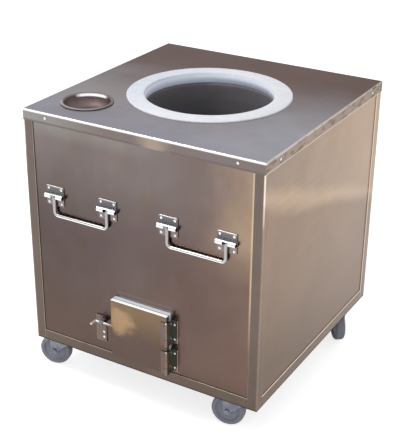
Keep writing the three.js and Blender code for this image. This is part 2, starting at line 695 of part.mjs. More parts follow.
// ---- Drop handles: two brackets and a bail each ----
function bracketGeometry() {
  const half = BRACKET_SIZE / 2;
  const plateFront = FIT + BRACKET_PLATE;
  const hollow = BAIL_RADIUS + RUN;
  const outer = hollow + SADDLE_WALL;
  const base = frontPlate(roundedRectangle(BRACKET_SIZE, BRACKET_SIZE, BRACKET_CORNER), BRACKET_PLATE, FIT);
  const saddle = join(
    block(-half, half, -PIVOT_STANDOFF, -plateFront + BRACKET_PLATE / 2, -outer, outer),
    crossBar(outer, -half, half, PIN_SIDES).translate(0, -PIVOT_STANDOFF, 0),
  );
  const [end, lip] = [half + OVERRUN, outer + OVERRUN];
  const tunnel = crossBar(hollow, -end, end, PIN_SIDES).translate(0, -PIVOT_STANDOFF, 0);
  const throat = block(-end, end, -PIVOT_STANDOFF, -plateFront, -hollow, hollow);
  const notch = block(-BAIL_ELBOW, BAIL_ELBOW, -PIVOT_STANDOFF - lip, -plateFront, -lip, hollow);
  const spacing = BRACKET_SCREW_SPACING / 2;
  const screws = [-1, 1].flatMap((sx) =>
    [-1, 1].map((sz) => frontScrew(sx * spacing, -plateFront, sz * spacing)),
  );
  return cut(join(base, saddle, ...screws), tunnel, throat, notch);
}

function bailGeometry() {
  const leg = BAIL_WIDTH / 2;
  const end = leg + BAIL_END;
  const corners = [[-end, 0], [-leg, 0], [-leg, -BAIL_DROP], [leg, -BAIL_DROP], [leg, 0], [end, 0]];
  const points = corners.map(([x, z]) => new THREE.Vector3(x, 0, z));
  return bentRod(points, [BAIL_ELBOW, BAIL_CORNER, BAIL_CORNER, BAIL_ELBOW], BAIL_RADIUS, ROD_SIDES);
}

function addHandles(oven) {
  [['front', 0], ['back', Math.PI]].forEach(([face, turn]) => {
    const wall = groupIn(oven, 0, 0, FRAME_FOOT + HANDLE_Z, turn);
    [['left', -1], ['right', 1]].forEach(([side, sign]) => {
      const handle = groupIn(wall, (sign * HANDLE_X + HANDLE_SHIFT) * Math.cos(turn), -PANEL_FACE, 0);
      const name = `handle_${face}_${side}`;
      const offset = BAIL_WIDTH / 2;
      place(handle, `${name}_bracket_a`, bracketGeometry(), BRIGHT_STEEL, -offset);
      place(handle, `${name}_bracket_b`, bracketGeometry(), BRIGHT_STEEL, offset);
      place(handle, `${name}_bail`, bailGeometry(), BRIGHT_STEEL, 0, -PIVOT_STANDOFF);
    });
  });
}

// ---- Casters: a fixed plate with its kingpin, a swivelling fork and a wheel ----
const CROWN_TOP = CASTER_HEIGHT - CASTER_PLATE - 2 * RACE_HEIGHT;
const CROWN_BOTTOM = CROWN_TOP - FORK_TOP_WALL;
const FORK_INNER = WHEEL_WIDTH / 2 + FORK_SIDE_GAP;
const FORK_OUTER = FORK_INNER + FORK_WALL;

function casterPlate() {
  const half = CASTER_PLATE_SIZE / 2;
  const underside = CASTER_HEIGHT - CASTER_PLATE;
  const middle = CASTER_HEIGHT - CASTER_PLATE / 2;
  const race = bar(RACE_RADIUS + RACE_RIM, underside - RACE_HEIGHT + RUN, middle, RACE_SIDES);
  const headTop = CROWN_BOTTOM - RUN;
  const kingpin = bar(KINGPIN_RADIUS, headTop - KINGPIN_HEAD / 2, middle, BARREL_SIDES);
  const head = bar(KINGPIN_HEAD_RADIUS, headTop - KINGPIN_HEAD, headTop, BARREL_SIDES);
  const spacing = CASTER_BOLT_SPACING / 2;
  const bolts = [-1, 1].flatMap((sx) => [-1, 1].map((sy) => {
    const bolt = bar(CASTER_BOLT_RADIUS, underside - CASTER_BOLT_HEAD, middle, HEXAGON);
    return bolt.translate(sx * spacing, sy * spacing, 0);
  }));
  return join(block(-half, half, -half, half, underside, CASTER_HEIGHT), race, kingpin, head, ...bolts);
}

function forkLeg() {
  const boss = FORK_BOSS_RADIUS;
  const shape = new THREE.Shape();
  shape.moveTo(-FORK_BACK, CROWN_TOP);
  shape.lineTo(-FORK_BACK, CROWN_BOTTOM - FORK_SHOULDER);
  shape.lineTo(CASTER_TRAIL - boss, WHEEL_RADIUS);
  shape.absarc(CASTER_TRAIL, WHEEL_RADIUS, boss, Math.PI, 2 * Math.PI);
  shape.lineTo(CASTER_TRAIL + FORK_FRONT, CROWN_TOP);
  return plate(shape, FORK_WALL, 4).rotateX(Math.PI / 2);
}

// The wheel trails towards +X of the fork's own frame.
function casterFork() {
  const nose = CASTER_TRAIL + FORK_FRONT;
  const crown = block(-FORK_BACK, nose, -FORK_OUTER, FORK_OUTER, CROWN_BOTTOM, CROWN_TOP);
  const discTop = CROWN_TOP + RACE_HEIGHT;
  const disc = bar(RACE_RADIUS, CROWN_BOTTOM, discTop, RACE_SIDES);
  const legs = [-FORK_INNER, FORK_OUTER].map((y) => forkLeg().translate(0, y, 0));
  const axle = bar(AXLE_RADIUS, -FORK_OUTER, FORK_OUTER, PIN_SIDES);
  const rim = AXLE_RADIUS + AXLE_HEAD_RIM;
  const seat = FORK_OUTER - FORK_WALL / 2;
  const end = FORK_OUTER + AXLE_HEAD;
  const heads = [bar(rim, -end, -seat, HEXAGON), bar(rim, seat, end, HEXAGON)];
  const across = [axle, ...heads].map((g) => g.rotateX(Math.PI / 2).translate(CASTER_TRAIL, 0, WHEEL_RADIUS));
  const bore = bar(KINGPIN_RADIUS + RUN, CROWN_BOTTOM - OVERRUN, discTop + OVERRUN, BARREL_SIDES);
  return cut(join(crown, disc, ...legs, ...across), bore);
}

function casterWheel() {
  const half = WHEEL_WIDTH / 2;
  const hubHalf = FORK_INNER - RUN;
  const tread = WHEEL_RADIUS / Math.cos(Math.PI / WHEEL_SIDES); // its flats touch the floor
  const right = [
    [AXLE_RADIUS + RUN, hubHalf],
    [HUB_RADIUS, hubHalf],
    [HUB_RADIUS + HUB_FILLET, half - WHEEL_DISH],
    [WHEEL_CORE_RADIUS, half - WHEEL_DISH],
    [tread - WHEEL_SHOULDER, half],
    [tread, half - WHEEL_SHOULDER],
  ];
  const left = right.map(([radius, z]) => [radius, -z]);
  const wheel = turnedRing([...left, ...right.reverse()], WHEEL_SIDES, Math.PI / WHEEL_SIDES);
  return wheel.rotateX(Math.PI / 2);
}

function addCasters(oven) {
  CORNERS.forEach((corner) => {
    const x = corner.endsWith('left') ? -CASTER_PLACE : CASTER_PLACE;
    const y = corner.startsWith('front') ? -CASTER_PLACE : CASTER_PLACE;
    const name = `caster_${corner}`;
    place(groupIn(oven, x, y), `${name}_plate`, casterPlate(), ZINC_PLATE);
    const swivel = groupIn(oven, x, y, 0, THREE.MathUtils.degToRad(CASTER_HEADING_ANGLES[corner]));
    place(swivel, `${name}_fork`, casterFork(), ZINC_PLATE);
    place(swivel, `${name}_wheel`, casterWheel(), WHEEL_RUBBER, CASTER_TRAIL, 0, WHEEL_RADIUS);
  });
}

// ---- The whole oven, moved so that its footprint's centre stands on the origin ----
const oven = new THREE.Group();
addFrame(oven);
addCladding(oven);
addLid(oven);
addHearth(oven);
addGrate(oven);
addCup(oven);
addFireDoor(oven);
addHinge(oven, 'hinge_upper', DOOR_TOP - HINGE_DROP[0]);
addHinge(oven, 'hinge_lower', DOOR_TOP - HINGE_DROP[1]);
addLatch(oven);
addHandles(oven);
addCasters(oven);

const footprint = new THREE.Box3().setFromObject(oven, true).getCenter(new THREE.Vector3());
oven.position.set(-footprint.x, -footprint.y, 0);

const tandoor = new THREE.Group();
tandoor.add(oven);
export default tandoor;
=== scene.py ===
"""A square tandoor oven on casters: the finished look around its construction."""

import math

import bmesh
import bpy
from mathutils import Matrix, Vector, noise


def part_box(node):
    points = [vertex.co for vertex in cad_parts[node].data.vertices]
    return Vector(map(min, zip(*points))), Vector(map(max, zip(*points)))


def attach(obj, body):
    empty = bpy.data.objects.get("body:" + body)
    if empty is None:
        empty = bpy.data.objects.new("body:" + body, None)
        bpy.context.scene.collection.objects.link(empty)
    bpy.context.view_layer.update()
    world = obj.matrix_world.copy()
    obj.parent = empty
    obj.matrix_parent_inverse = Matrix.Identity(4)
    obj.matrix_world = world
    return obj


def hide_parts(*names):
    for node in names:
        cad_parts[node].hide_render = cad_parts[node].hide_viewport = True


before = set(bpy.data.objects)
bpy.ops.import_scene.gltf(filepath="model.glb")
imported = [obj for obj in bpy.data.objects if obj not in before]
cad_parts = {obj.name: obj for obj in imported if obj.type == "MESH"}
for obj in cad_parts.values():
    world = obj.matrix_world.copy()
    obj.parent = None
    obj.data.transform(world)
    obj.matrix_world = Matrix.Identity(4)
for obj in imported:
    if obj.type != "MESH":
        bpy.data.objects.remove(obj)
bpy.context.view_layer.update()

# -------- sizes, in millimetres
# Shapes and places are written in millimetres from the oven's centre line and from the floor.
MM = 0.001
lid_low, lid_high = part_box("lid")
CENTRE = Vector(((lid_low.x + lid_high.x) / 2, (lid_low.y + lid_high.y) / 2, 0))
OVEN = Matrix.Translation(CENTRE) @ Matrix.Scale(MM, 4)


def node_box(node):
    """A construction node's lowest and highest corners."""
    low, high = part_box(node)
    return (low - CENTRE) / MM, (high - CENTRE) / MM


def node_middle(node):
    low, high = node_box(node)
    return (low + high) / 2


LID_HALF = 381.0
LID_FOOT = node_box("lid")[0].z
LID_TOP = LID_FOOT + 32.6
LID_SHEET = 1.2
LID_FOLD = 3.2
LID_CORNER = 3.8
SKIRT_SCREW_X = 302.0
SKIRT_SCREW_DROP = 16.0

RING_HOLE = 241.3
RING_OUTSIDE = 241.0
RING_FOOT, RING_TOP = (corner.z for corner in node_box("mouth_ring"))
MOUTH = 187.0
POT_CURVE = [
    (0, 214), (0.12, 236.8), (0.3, 252), (0.5, 250), (0.68, 237), (0.84, 210.4), (0.95, 193), (1, 187),
]
POT_WALL = 38.0
PORT_HALF = 70.0

CUP_X = -259.0
CUP_Y = -243.0
CUP_HOLE = 69.6

FRAME_HALF = 379.5
FRAME_LEG = 30.0
PANEL_FACE = 376.2
PLATE_BACK = PANEL_FACE + 0.3
PLATE_SHEET = 2.5

DOOR_X = 8.0
DOOR_Z = node_middle("fire_door").z
DOOR_HALF = 94.0
DOOR_BACK = -node_box("fire_door")[1].y
DOOR_FACE = -node_box("fire_door")[0].y
DOOR_SHEET = 1.5

BOLT_OUT = PANEL_FACE + 17.5
BOLT_Z = node_middle("latch_bolt").z
BOLT_RADIUS = 3.5
BOLT_BORE = 4.1
GUIDE_LOW, GUIDE_HIGH = -132.0, -121.0
HINGE_HALF = 37.0
HINGE_BARREL = 4.5
HINGE_BORE = 2.8
LEAF_EDGE = 20.5
LEAF_SHEET = 2.0
LEAF_SCREW = 23.5
HINGE_X = DOOR_X + DOOR_HALF + 2
HINGE_Y = -(DOOR_FACE + 0.3 + HINGE_BARREL)

HANDLE_Z = node_middle("handle_front_left_bracket_a").z
HANDLE_PLATE = 60.0
HANDLE_SCREW = 21.5
SADDLE_END = 30.0
SADDLE_NOTCH = 8.0
BAIL_HALF = 90.0
BAIL_DROP = 57.0
BAIL_RADIUS = 5.0
PIVOT_OUT = 8.4

CASTER_PLACE = 309.0
CASTER_TRAIL = 50.0
CASTER_TOP = 117.0
CASTER_PLATE = 92.0
CASTER_BOLT = 36.0
FORK_TOP = 106.0
FORK_HALF = 19.5
FORK_SHEET = 2.5
CROWN_SHEET = 3.0
WHEEL_RADIUS = 50.0
WHEEL_HALF = 15.0
HEADINGS = {"front_left": 194, "front_right": 190, "back_left": 150, "back_right": 308}


# -------- shader expressions
def operation(name, swapped=False):
    """A step of shader arithmetic, as a method of Tone."""
    def method(self, other=0.0):
        first, second = (other, self) if swapped else (self, other)
        return self.paint.node("Math", {"operation": name}, {0: first, 1: second})

    return method


class Tone:
    """A shader socket that takes part in Python arithmetic."""

    def __init__(self, paint, socket):
        self.paint = paint
        self.socket = socket

    __add__ = operation("ADD")
    __radd__ = operation("ADD", swapped=True)
    __sub__ = operation("SUBTRACT")
    __rsub__ = operation("SUBTRACT", swapped=True)
    __mul__ = operation("MULTIPLY")
    __rmul__ = operation("MULTIPLY", swapped=True)
    __abs__ = operation("ABSOLUTE")
    least = operation("MINIMUM")
    most = operation("MAXIMUM")


class Paint:
    """The nodes of one material, or of the surround, built from expressions."""

    def __init__(self, holder, shader, **fixed):
        holder.use_nodes = True
        self.holder = holder
        self.tree = holder.node_tree
        self.shader = self.tree.nodes[shader]
        self.finish(**fixed)

    def feed(self, socket, value):
        if isinstance(value, Tone):
            self.tree.links.new(value.socket, socket)
        else:
            socket.default_value = value

    def node(self, kind, settings, sockets, output=0):
        made = self.tree.nodes.new("ShaderNode" + kind)
        for key, value in settings.items():
            setattr(made, key, value)
        for key, value in sockets.items():
            self.feed(made.inputs[key], value)
        return Tone(self, made.outputs[output])

    def where(self):
        """The surface's own place, in metres."""
        return self.node("TexCoord", {}, {}, "Object")

    def part(self, axis):
        return self.node("SeparateXYZ", {}, {"Vector": self.where()}, axis)

    def along(self, axis, low, high):
        """0 at low and 1 at high along an axis, clamped. Low may be the larger."""
        zero = CENTRE["XYZ".index(axis)]
        sockets = {"Value": self.part(axis), "From Min": zero + low * MM, "From Max": zero + high * MM}
        return self.node("MapRange", {}, sockets)

    def offset(self, axis, centre):
        """How far the surface lies from a place along an axis, either way."""
        zero = CENTRE["XYZ".index(axis)]
        return abs(self.part(axis) - (zero + centre * MM)) * (1 / MM)

    def step(self, value, low, high):
        """0 at low, 1 at high, and smooth between. Low may be the larger."""
        sockets = {"Value": value, "From Min": low, "From Max": high}
        return self.node("MapRange", {"interpolation_type": "SMOOTHSTEP"}, sockets)

    def near(self, spot, inner, outer):
        """1 within a distance of a spot, 0 past the outer distance, and ragged between."""
        sockets = {0: self.where(), 1: CENTRE + Vector(spot) * MM}
        away = self.node("VectorMath", {"operation": "DISTANCE"}, sockets, "Value") * (1 / MM)
        return self.step(away + (self.noise(22.0, 4.0) - 0.5) * (outer - inner), outer, inner)

    def place(self, stretch=(1.0, 1.0, 1.0)):
        """The surface's own place, in metres, stretched along each axis."""
        return self.node("Mapping", {}, {"Vector": self.where(), "Scale": stretch})

    def noise(self, scale, detail, stretch=(1.0, 1.0, 1.0)):
        sockets = {"Vector": self.place(stretch), "Scale": scale, "Detail": detail, "Roughness": 0.55}
        return self.node("TexNoise", {}, sockets, "Fac")

    def cells(self, scale):
        return self.node("TexVoronoi", {}, {"Vector": self.place(), "Scale": scale}, "Distance")

    def mix(self, factor, first, second, **settings):
        return self.node("Mix", {"data_type": "RGBA", **settings}, {0: factor, 6: first, 7: second}, 2)

    def shaded(self, factor, colour, shade):
        """A colour multiplied by a shade, as far as the factor says."""
        return self.mix(factor, colour, shade, blend_type="MULTIPLY")

    def layers(self, colour, *above):
        """A colour with others laid over it in turn, each as far as its factor says."""
        for factor, layer in above:
            colour = self.mix(factor, colour, layer)
        return colour

    def glow(self, factor, colour):
        """A light of the surface's own, as far as the factor says."""
        self.finish(Emission_Color=self.layers((0, 0, 0, 1), (factor, colour)), Emission_Strength=1.0)

    def seen(self):
        """1 for what the camera, a mirror or glass looks at, and 0 for light that only falls."""
        ways = ("Is Camera Ray", "Is Glossy Ray", "Is Transmission Ray")
        camera, mirror, glass = (self.node("LightPath", {}, {}, way) for way in ways)
        return camera.most(mirror).most(glass)

    def finish(self, **inputs):
        for key, value in inputs.items():
            self.feed(self.shader.inputs[key.replace("_", " ")], value)
        return self.holder

    def surface(self, colour, roughness, height, depth, strength):
        """A material's colour and roughness, and the relief of a height of some depth."""
        relief = self.node("Bump", {}, {"Height": height, "Distance": depth * MM, "Strength": strength})
        return self.finish(Base_Color=colour, Roughness=roughness, Normal=relief)


def coat(name, **fixed):
    """A new material's nodes."""
    return Paint(bpy.data.materials.new(name), "Principled BSDF", **fixed)


def srgb(red, green, blue):
    """A shader colour from the 0 to 255 values that a screen shows."""
    def linear(value):
        value /= 255
        return value / 12.92 if value <= 0.04045 else ((value + 0.055) / 1.055) ** 2.4

    return (linear(red), linear(green), linear(blue), 1.0)


# -------- finishes
# The front sheet's low, middle, high and right tones are painted reflection and shade.
FRONT_LOW = srgb(103, 86, 79)
FRONT_MIDDLE = srgb(101, 88, 85)
FRONT_HIGH = srgb(124, 115, 113)
FRONT_RIGHT = srgb(120, 96, 84)
# painted tan reflection high on the right
FRONT_PAINTED_REFLECTION = srgb(164, 144, 123)
# painted highlight near the sheet's right edge
FRONT_EDGE_HIGHLIGHT = srgb(206, 184, 158)
# painted light on the panel over the door
FRONT_PAINTED_LIGHT = srgb(168, 156, 152)
FRONT_BROW = srgb(142, 141, 137)
# The side sheets' low, middle, high and far tones and their bright band are painted reflection.
SIDE_LOW = srgb(104, 82, 63)
SIDE_MIDDLE = srgb(140, 116, 97)
SIDE_HIGH = srgb(144, 124, 107)
SIDE_FAR = srgb(168, 141, 116)
SIDE_REFLECTION_BAND = srgb(180, 155, 130)
# painted reflection: the frame's tone, lighter higher up
FRAME_LOW = srgb(100, 88, 80)
FRAME_HIGH = srgb(114, 102, 97)
# painted highlight along the frame's corners
FRAME_CORNER_HIGHLIGHT = srgb(238, 224, 206)
# painted light and glow on the frame's cut edges
FRAME_LIT_EDGE = srgb(250, 243, 232)
FRAME_LIT_EDGE_FRONT = srgb(206, 194, 178)
FRAME_LIT_EDGE_GLOW = (0.32, 0.27, 0.22, 1)
# The door's low and high tones are painted reflection; its tan patch is a painted reflection, its flank
# painted shade, and its top flange a painted highlight, greyer at the back as a painted shade line.
DOOR_LOW = srgb(96, 81, 75)
DOOR_HIGH = srgb(121, 101, 80)
DOOR_REFLECTION = srgb(160, 133, 103)
DOOR_TOP_HIGHLIGHT = srgb(250, 252, 254)
DOOR_TOP_BACK_SHADE = srgb(196, 200, 204)
DOOR_FLANK_SHADE = srgb(94, 97, 99)
# The lid's front, near, far and right tones are painted reflection; fold and hem colours are painted
# highlights, the skirt shadow is painted shade and the skirt's brown streaks are painted reflection.
LID_FRONT = srgb(160, 158, 170)
LID_NEAR = srgb(161, 156, 159)
LID_FAR = srgb(111, 89, 83)
LID_RIGHT = srgb(171, 170, 177)
LID_FOLD_HIGHLIGHT = srgb(252, 250, 247)
LID_SKIRT_LEFT = srgb(143, 142, 139)
LID_SKIRT_FRONT = srgb(124, 114, 112)
LID_PATCH = srgb(176, 160, 142)
LID_SKIRT_RIGHT = srgb(166, 149, 136)
LID_HEM_HIGHLIGHT = srgb(232, 222, 208)
LID_SKIRT_SHADOW = srgb(110, 99, 97)
LID_SKIRT_REFLECTION = srgb(112, 90, 74)
CUP_INSIDE = srgb(120, 106, 107)
CUP_STAIN = srgb(104, 88, 84)
CUP_RIM = srgb(128, 119, 119)
# painted highlights: the rim's front and the far wall's shine
CUP_RIM_HIGHLIGHT = srgb(160, 151, 154)
CUP_SHINE = srgb(254, 250, 254)
HINGE_LEAF = srgb(112, 97, 92)
# painted highlight on the barrels, painted light on the outer edge and painted shade in the crank
HINGE_BARREL_HIGHLIGHT = srgb(126, 110, 99)
HINGE_EDGE_HIGHLIGHT = srgb(196, 184, 182)
HINGE_CRANK_SHADE = srgb(86, 90, 78)
BRACKET_PLATE = srgb(134, 124, 120)
BRACKET_SHADE = srgb(92, 96, 104)
# painted shade on the legs and on top of the grip, and a painted highlight under it
BAIL_LEG_SHADE = srgb(168, 166, 166)
BAIL_TOP_SHADE = srgb(182, 180, 180)
BAIL_HIGHLIGHT = srgb(250, 250, 250)
# painted highlight at the bolt's bend, duller towards its tip
BOLT_HIGHLIGHT = srgb(245, 240, 240)
BOLT_DULL = srgb(150, 128, 120)
LATCH_PLATE = srgb(118, 103, 97)
LATCH_GUIDE = srgb(138, 142, 144)

# Painted glows: surfaces that give light of their own though they are no lamps.
RING_WALL_GLOW = (0.2, 0.215, 0.27, 1)
CUP_GLOW = (0.5, 0.46, 0.5, 1)
DOOR_TOP_GLOW = (0.42, 0.43, 0.43, 1)
SURROUND_GLOW = (0.13, 0.15, 0.16, 1)
# level and fall of the side sheets' painted reflection band
SIDE_BAND_LEVEL = 0.752
SIDE_BAND_FALL = 0.25
SHEET_FOOT = 120.0
SHEET_TOP = 830.0
HALF_WIDTH = 380.0
VERTICAL_GRAIN = (260.0, 260.0, 3.0)
SIDE_GRAIN = (4.0, 4.0, 260.0)
LEVEL_GRAIN = (18.0, 420.0, 420.0)
SPUN_GRAIN = (600.0, 600.0, 2.0)


def brushed(paint, colour, grain=VERTICAL_GRAIN, roughness=0.25, contrast=0.5, metallic=1.0, fine=0.1):
    """Lays the marks of a brushed sheet over a colour: soft clouds, wiped smears and fine grain."""
    clouds = paint.noise(4.5, 3.0)
    smears = paint.noise(15.0, 4.0, (1.0, 1.0, 0.5))
    streaks = paint.noise(1.0, 2.0, grain)
    marks = paint.step(clouds * (0.7 - fine) + smears * 0.3 + streaks * fine, 0.36, 0.64)
    colour = paint.shaded((1 - marks) * contrast, colour, srgb(214, 211, 214))
    warm = paint.step(paint.noise(6.5, 3.0, (1.0, 1.0, 0.7)), 0.5, 0.68)
    colour = paint.shaded(warm * contrast, colour, srgb(255, 244, 228))
    rough = roughness + (smears - 0.5) * 0.14 + (streaks - 0.5) * 0.08
    paint.finish(Metallic=metallic)
    return paint.surface(colour, rough, streaks, 0.1, 0.25)


def front_steel():
    """Front and back sheets: painted reflection and shade, darker at the left and foot and paler high up,
    with a painted tan reflection high on the right, a painted edge highlight and painted light above the
    door.
    """
    paint = coat("front_steel")
    height = paint.along("Z", SHEET_FOOT, SHEET_TOP)
    across = paint.along("X", -HALF_WIDTH, HALF_WIDTH)
    # painted shade: darker at the left and towards the foot
    left = paint.step(across, 0.5, 0.1) * paint.step(height, 0.96, 0.6)
    foot = paint.step(height, 0.12, 0.0)
    brow = paint.step(height, 0.92, 0.99) * paint.step(across, 0.7, 0.3)
    # painted light: a pale strip on the panel just above the door's surround, where a dark reflection
    # would fall
    sill = DOOR_Z + DOOR_HALF
    over = paint.along("Z", sill - 3, sill) * paint.step(paint.along("Z", sill, sill + 24), 1.0, 0.0)
    painted_light = over * paint.step(paint.offset("X", DOOR_X + 8), 98, 82) * paint.along("Y", 10, -10)
    # painted reflection: a ragged tan patch high on the right of the sheet
    ragged = across + (paint.noise(5.0, 3.0) - 0.5) * 0.3
    bloom = paint.step(ragged, 0.72, 1.0) * paint.step(height, 0.5, 0.72)
    # painted highlight: a bright strip near the sheet's right edge
    edge = paint.along("X", 342, 346) * paint.step(height, 0.15, 0.6)
    # painted reflection: darker low, paler high and browner towards the right
    colour = paint.layers(
        FRONT_LOW, (paint.step(height, 0.05, 0.5), FRONT_MIDDLE),
        (paint.step(height, 0.5, 1.0), FRONT_HIGH), (paint.step(across, 0.5, 1.0) * 0.55, FRONT_RIGHT),
    )
    colour = paint.layers(
        paint.shaded(left.most(foot), colour, srgb(230, 231, 232)), (brow * 0.7, FRONT_BROW),
        (painted_light * 0.6, FRONT_PAINTED_LIGHT), (bloom * 0.9, FRONT_PAINTED_REFLECTION), (edge * 0.8, FRONT_EDGE_HIGHLIGHT),
    )
    return brushed(paint, colour)


def side_tone(paint):
    """Painted reflection: brown at the foot and pale above a soft bright band that sinks from the front
    to the back.
    """
    deep = paint.along("Y", -HALF_WIDTH, HALF_WIDTH)
    waves = paint.noise(1.0, 2.0, (2.2, 2.2, 9.0)) - 0.5
    level = paint.along("Z", 0, 1000) + deep * SIDE_BAND_FALL + waves * 0.06
    above = paint.layers(SIDE_HIGH, (deep, SIDE_FAR))
    high = paint.step(level, SIDE_BAND_LEVEL - 0.04, SIDE_BAND_LEVEL + 0.06)
    reflection_band = paint.step(abs(level - SIDE_BAND_LEVEL), 0.05, 0.0)
    return paint.layers(
        SIDE_LOW, (paint.step(level, 0.2, 0.62), SIDE_MIDDLE), (high, above), (reflection_band * 0.85, SIDE_REFLECTION_BAND),
    )


def side_steel():
    """Side sheets, brushed along their length."""
    paint = coat("side_steel")
    return brushed(paint, side_tone(paint), SIDE_GRAIN, fine=0.3)


def frame_steel(name, rail_top=None):
    """Angle frame: legs like the sheets beside them, lighter higher up as painted reflection, painted
    highlights along the corners, and painted light with a glow on the cut edges.
    """
    paint = coat(name)
    height = paint.along("Z", SHEET_FOOT, SHEET_TOP)
    aside = paint.offset("X", 0)
    ahead = paint.offset("Y", 0)
    flank = paint.step(aside, FRAME_HALF - 0.9, FRAME_HALF - 0.3)
    # painted highlight along the outer corners, stronger higher up
    corner_highlight = paint.step(aside + ahead, 2 * FRAME_HALF - 5, 2 * FRAME_HALF - 1.5)
    highlight_fade = paint.step(height + (paint.noise(9.0, 3.0) - 0.5) * 0.35, 0.72, 0.92) * 0.88 + 0.12
    # painted light: the cut edges pale and glowing, to lift the dark lines beside the legs
    inset = FRAME_HALF - FRAME_LEG
    cut = paint.offset("Z", rail_top) if rail_top else abs(aside - inset).least(abs(ahead - inset))
    lit_edge = paint.step(cut, 0.9, 0.4)
    in_front = paint.step(ahead, FRAME_HALF - 4, FRAME_HALF - 3.1)
    colour = paint.layers(
        FRAME_LOW, (height, FRAME_HIGH), (flank, side_tone(paint)), (corner_highlight * highlight_fade, FRAME_CORNER_HIGHLIGHT),
        (lit_edge, paint.layers(FRAME_LIT_EDGE, (in_front, FRAME_LIT_EDGE_FRONT))),
    )
    paint.glow(lit_edge * (1 - in_front), FRAME_LIT_EDGE_GLOW)
    return brushed(paint, colour, metallic=1 - lit_edge * 0.9)


def door_steel():
    """Fire door: like the front, lighter higher up as painted reflection, with a painted tan reflection
    at its upper left, painted shade on its right flank and a painted highlight with a glow on its top
    flange.
    """
    paint = coat("door_steel")
    # painted reflection: a tan fan at the door's upper left
    fan = paint.near((-56, -401.7, DOOR_Z + 36), 4, 85)
    door_reflection = paint.step(fan * 0.75 + paint.noise(26.0, 5.0, (1.0, 1.0, 1.8)) * 0.6, 0.4, 1.05)
    top, right = DOOR_Z + DOOR_HALF, DOOR_X + DOOR_HALF
    height = paint.along("Z", DOOR_Z - DOOR_HALF, top)
    # painted shade on the right flank, and a painted highlight with a glow on the top flange, greyer at
    # its back
    flank = paint.along("X", right - 1.1, right - 0.4)
    flange = paint.along("Z", top - 1.4, top - 0.5)
    back = paint.along("Y", -DOOR_BACK - 5, -DOOR_BACK - 2.5)
    colour = paint.layers(
        DOOR_LOW, (paint.step(height, 0.35, 0.95), DOOR_HIGH), (door_reflection, DOOR_REFLECTION), (flank, DOOR_FLANK_SHADE),
        (flange, paint.layers(DOOR_TOP_HIGHLIGHT, (back, DOOR_TOP_BACK_SHADE))),
    )
    paint.glow(flange * (1 - back), DOOR_TOP_GLOW)
    return brushed(paint, colour, contrast=0.3, metallic=1 - (flank * 0.7).most(flange * 0.9))


def lid_steel():
    """The lid: painted reflection, pale in front and browner behind, painted highlights along its front
    fold and right bend, and a skirt with painted brown reflections, painted shadow and a painted hem
    highlight.
    """
    paint = coat("lid_steel", Specular_Tint=(0.6, 0.6, 0.6, 1))
    wipes = paint.noise(5.0, 4.0, (1.0, 1.7, 1.0))
    across = paint.along("X", -HALF_WIDTH, HALF_WIDTH)
    far = paint.along("Y", -HALF_WIDTH, HALF_WIDTH) + (wipes - 0.5) * 0.25
    patch = paint.near((50, -LID_HALF, LID_FOOT + 12), 10, 75)
    right = paint.along("X", LID_HALF - 1.2, LID_HALF - 0.3)
    # painted brown reflections streaked on the right skirt
    brown_marks = paint.step(paint.noise(26.0, 4.0, (1.0, 1.0, 3.0)), 0.5, 0.62) * right
    # painted shadow along the foot of the front skirt
    shadow = paint.along("Z", LID_FOOT + 8, LID_FOOT + 3) * (1 - right) * (1 - patch)
    # painted highlight along the right skirt's hem
    hem_highlight = paint.along("Z", LID_FOOT + 2.8, LID_FOOT + 1.2) * right
    skirt = paint.along("Z", LID_TOP - 4, LID_TOP - 7)
    # painted highlights along the front fold and the right bend
    fold = paint.along("Z", LID_TOP - 5.5, LID_TOP - 4) * paint.along("Y", 4.5 - LID_HALF, 2.8 - LID_HALF)
    bend = paint.along("Z", LID_TOP - 5, LID_TOP - 3.5) * paint.along("X", LID_HALF - 4, LID_HALF - 2.5)
    skirt_tone = paint.layers(
        LID_SKIRT_LEFT, (paint.step(across, 0.0, 0.45), LID_SKIRT_FRONT), (patch * 0.6, LID_PATCH),
        (right, LID_SKIRT_RIGHT), (brown_marks * 0.6, LID_SKIRT_REFLECTION), (shadow * 0.8, LID_SKIRT_SHADOW),
        (hem_highlight * 0.9, LID_HEM_HIGHLIGHT),
    )
    # painted reflection: pale in front, browner behind, paler at the right
    colour = paint.layers(
        LID_FRONT, (paint.step(far, 0.0, 0.32), LID_NEAR), (paint.step(across, 0.55, 1.0), LID_RIGHT),
        (paint.step(far, 0.22, 0.9), LID_FAR), (skirt, skirt_tone), (fold, LID_FOLD_HIGHLIGHT),
        (bend * (1 - brown_marks) * 0.6, LID_HEM_HIGHLIGHT),
    )
    return brushed(paint, colour, LEVEL_GRAIN, 0.27, 0.3)


def cup_steel():
    """Spun bowl: grey-brown and stained, with a glowing painted highlight on its far wall and a painted
    highlight on its rim in front.
    """
    paint = coat("cup_steel")
    brown_marks = paint.step(paint.noise(30.0, 4.0), 0.42, 0.66)
    # painted highlight, glowing, on the far wall
    spot = paint.near((CUP_X - 24, CUP_Y + 62, LID_TOP - 1), 34, 54)
    shine = spot * paint.along("Z", LID_TOP - 7, LID_TOP - 4) * paint.along("Z", LID_TOP + 3, LID_TOP + 2)
    # painted highlight on the front of the rim
    rim = paint.along("Z", LID_TOP + 0.4, LID_TOP + 1.2)
    front = paint.along("Y", CUP_Y - 10, CUP_Y - 50)
    colour = paint.layers(
        CUP_INSIDE, (brown_marks * 0.5, CUP_STAIN), (shine, CUP_SHINE),
        (rim, paint.layers(CUP_RIM, (front, CUP_RIM_HIGHLIGHT))),
    )
    paint.glow(shine, CUP_GLOW)
    return brushed(paint, colour, SPUN_GRAIN, 0.55, 0.4, 1 - (shine * 0.9).most(rim * front * 0.8))


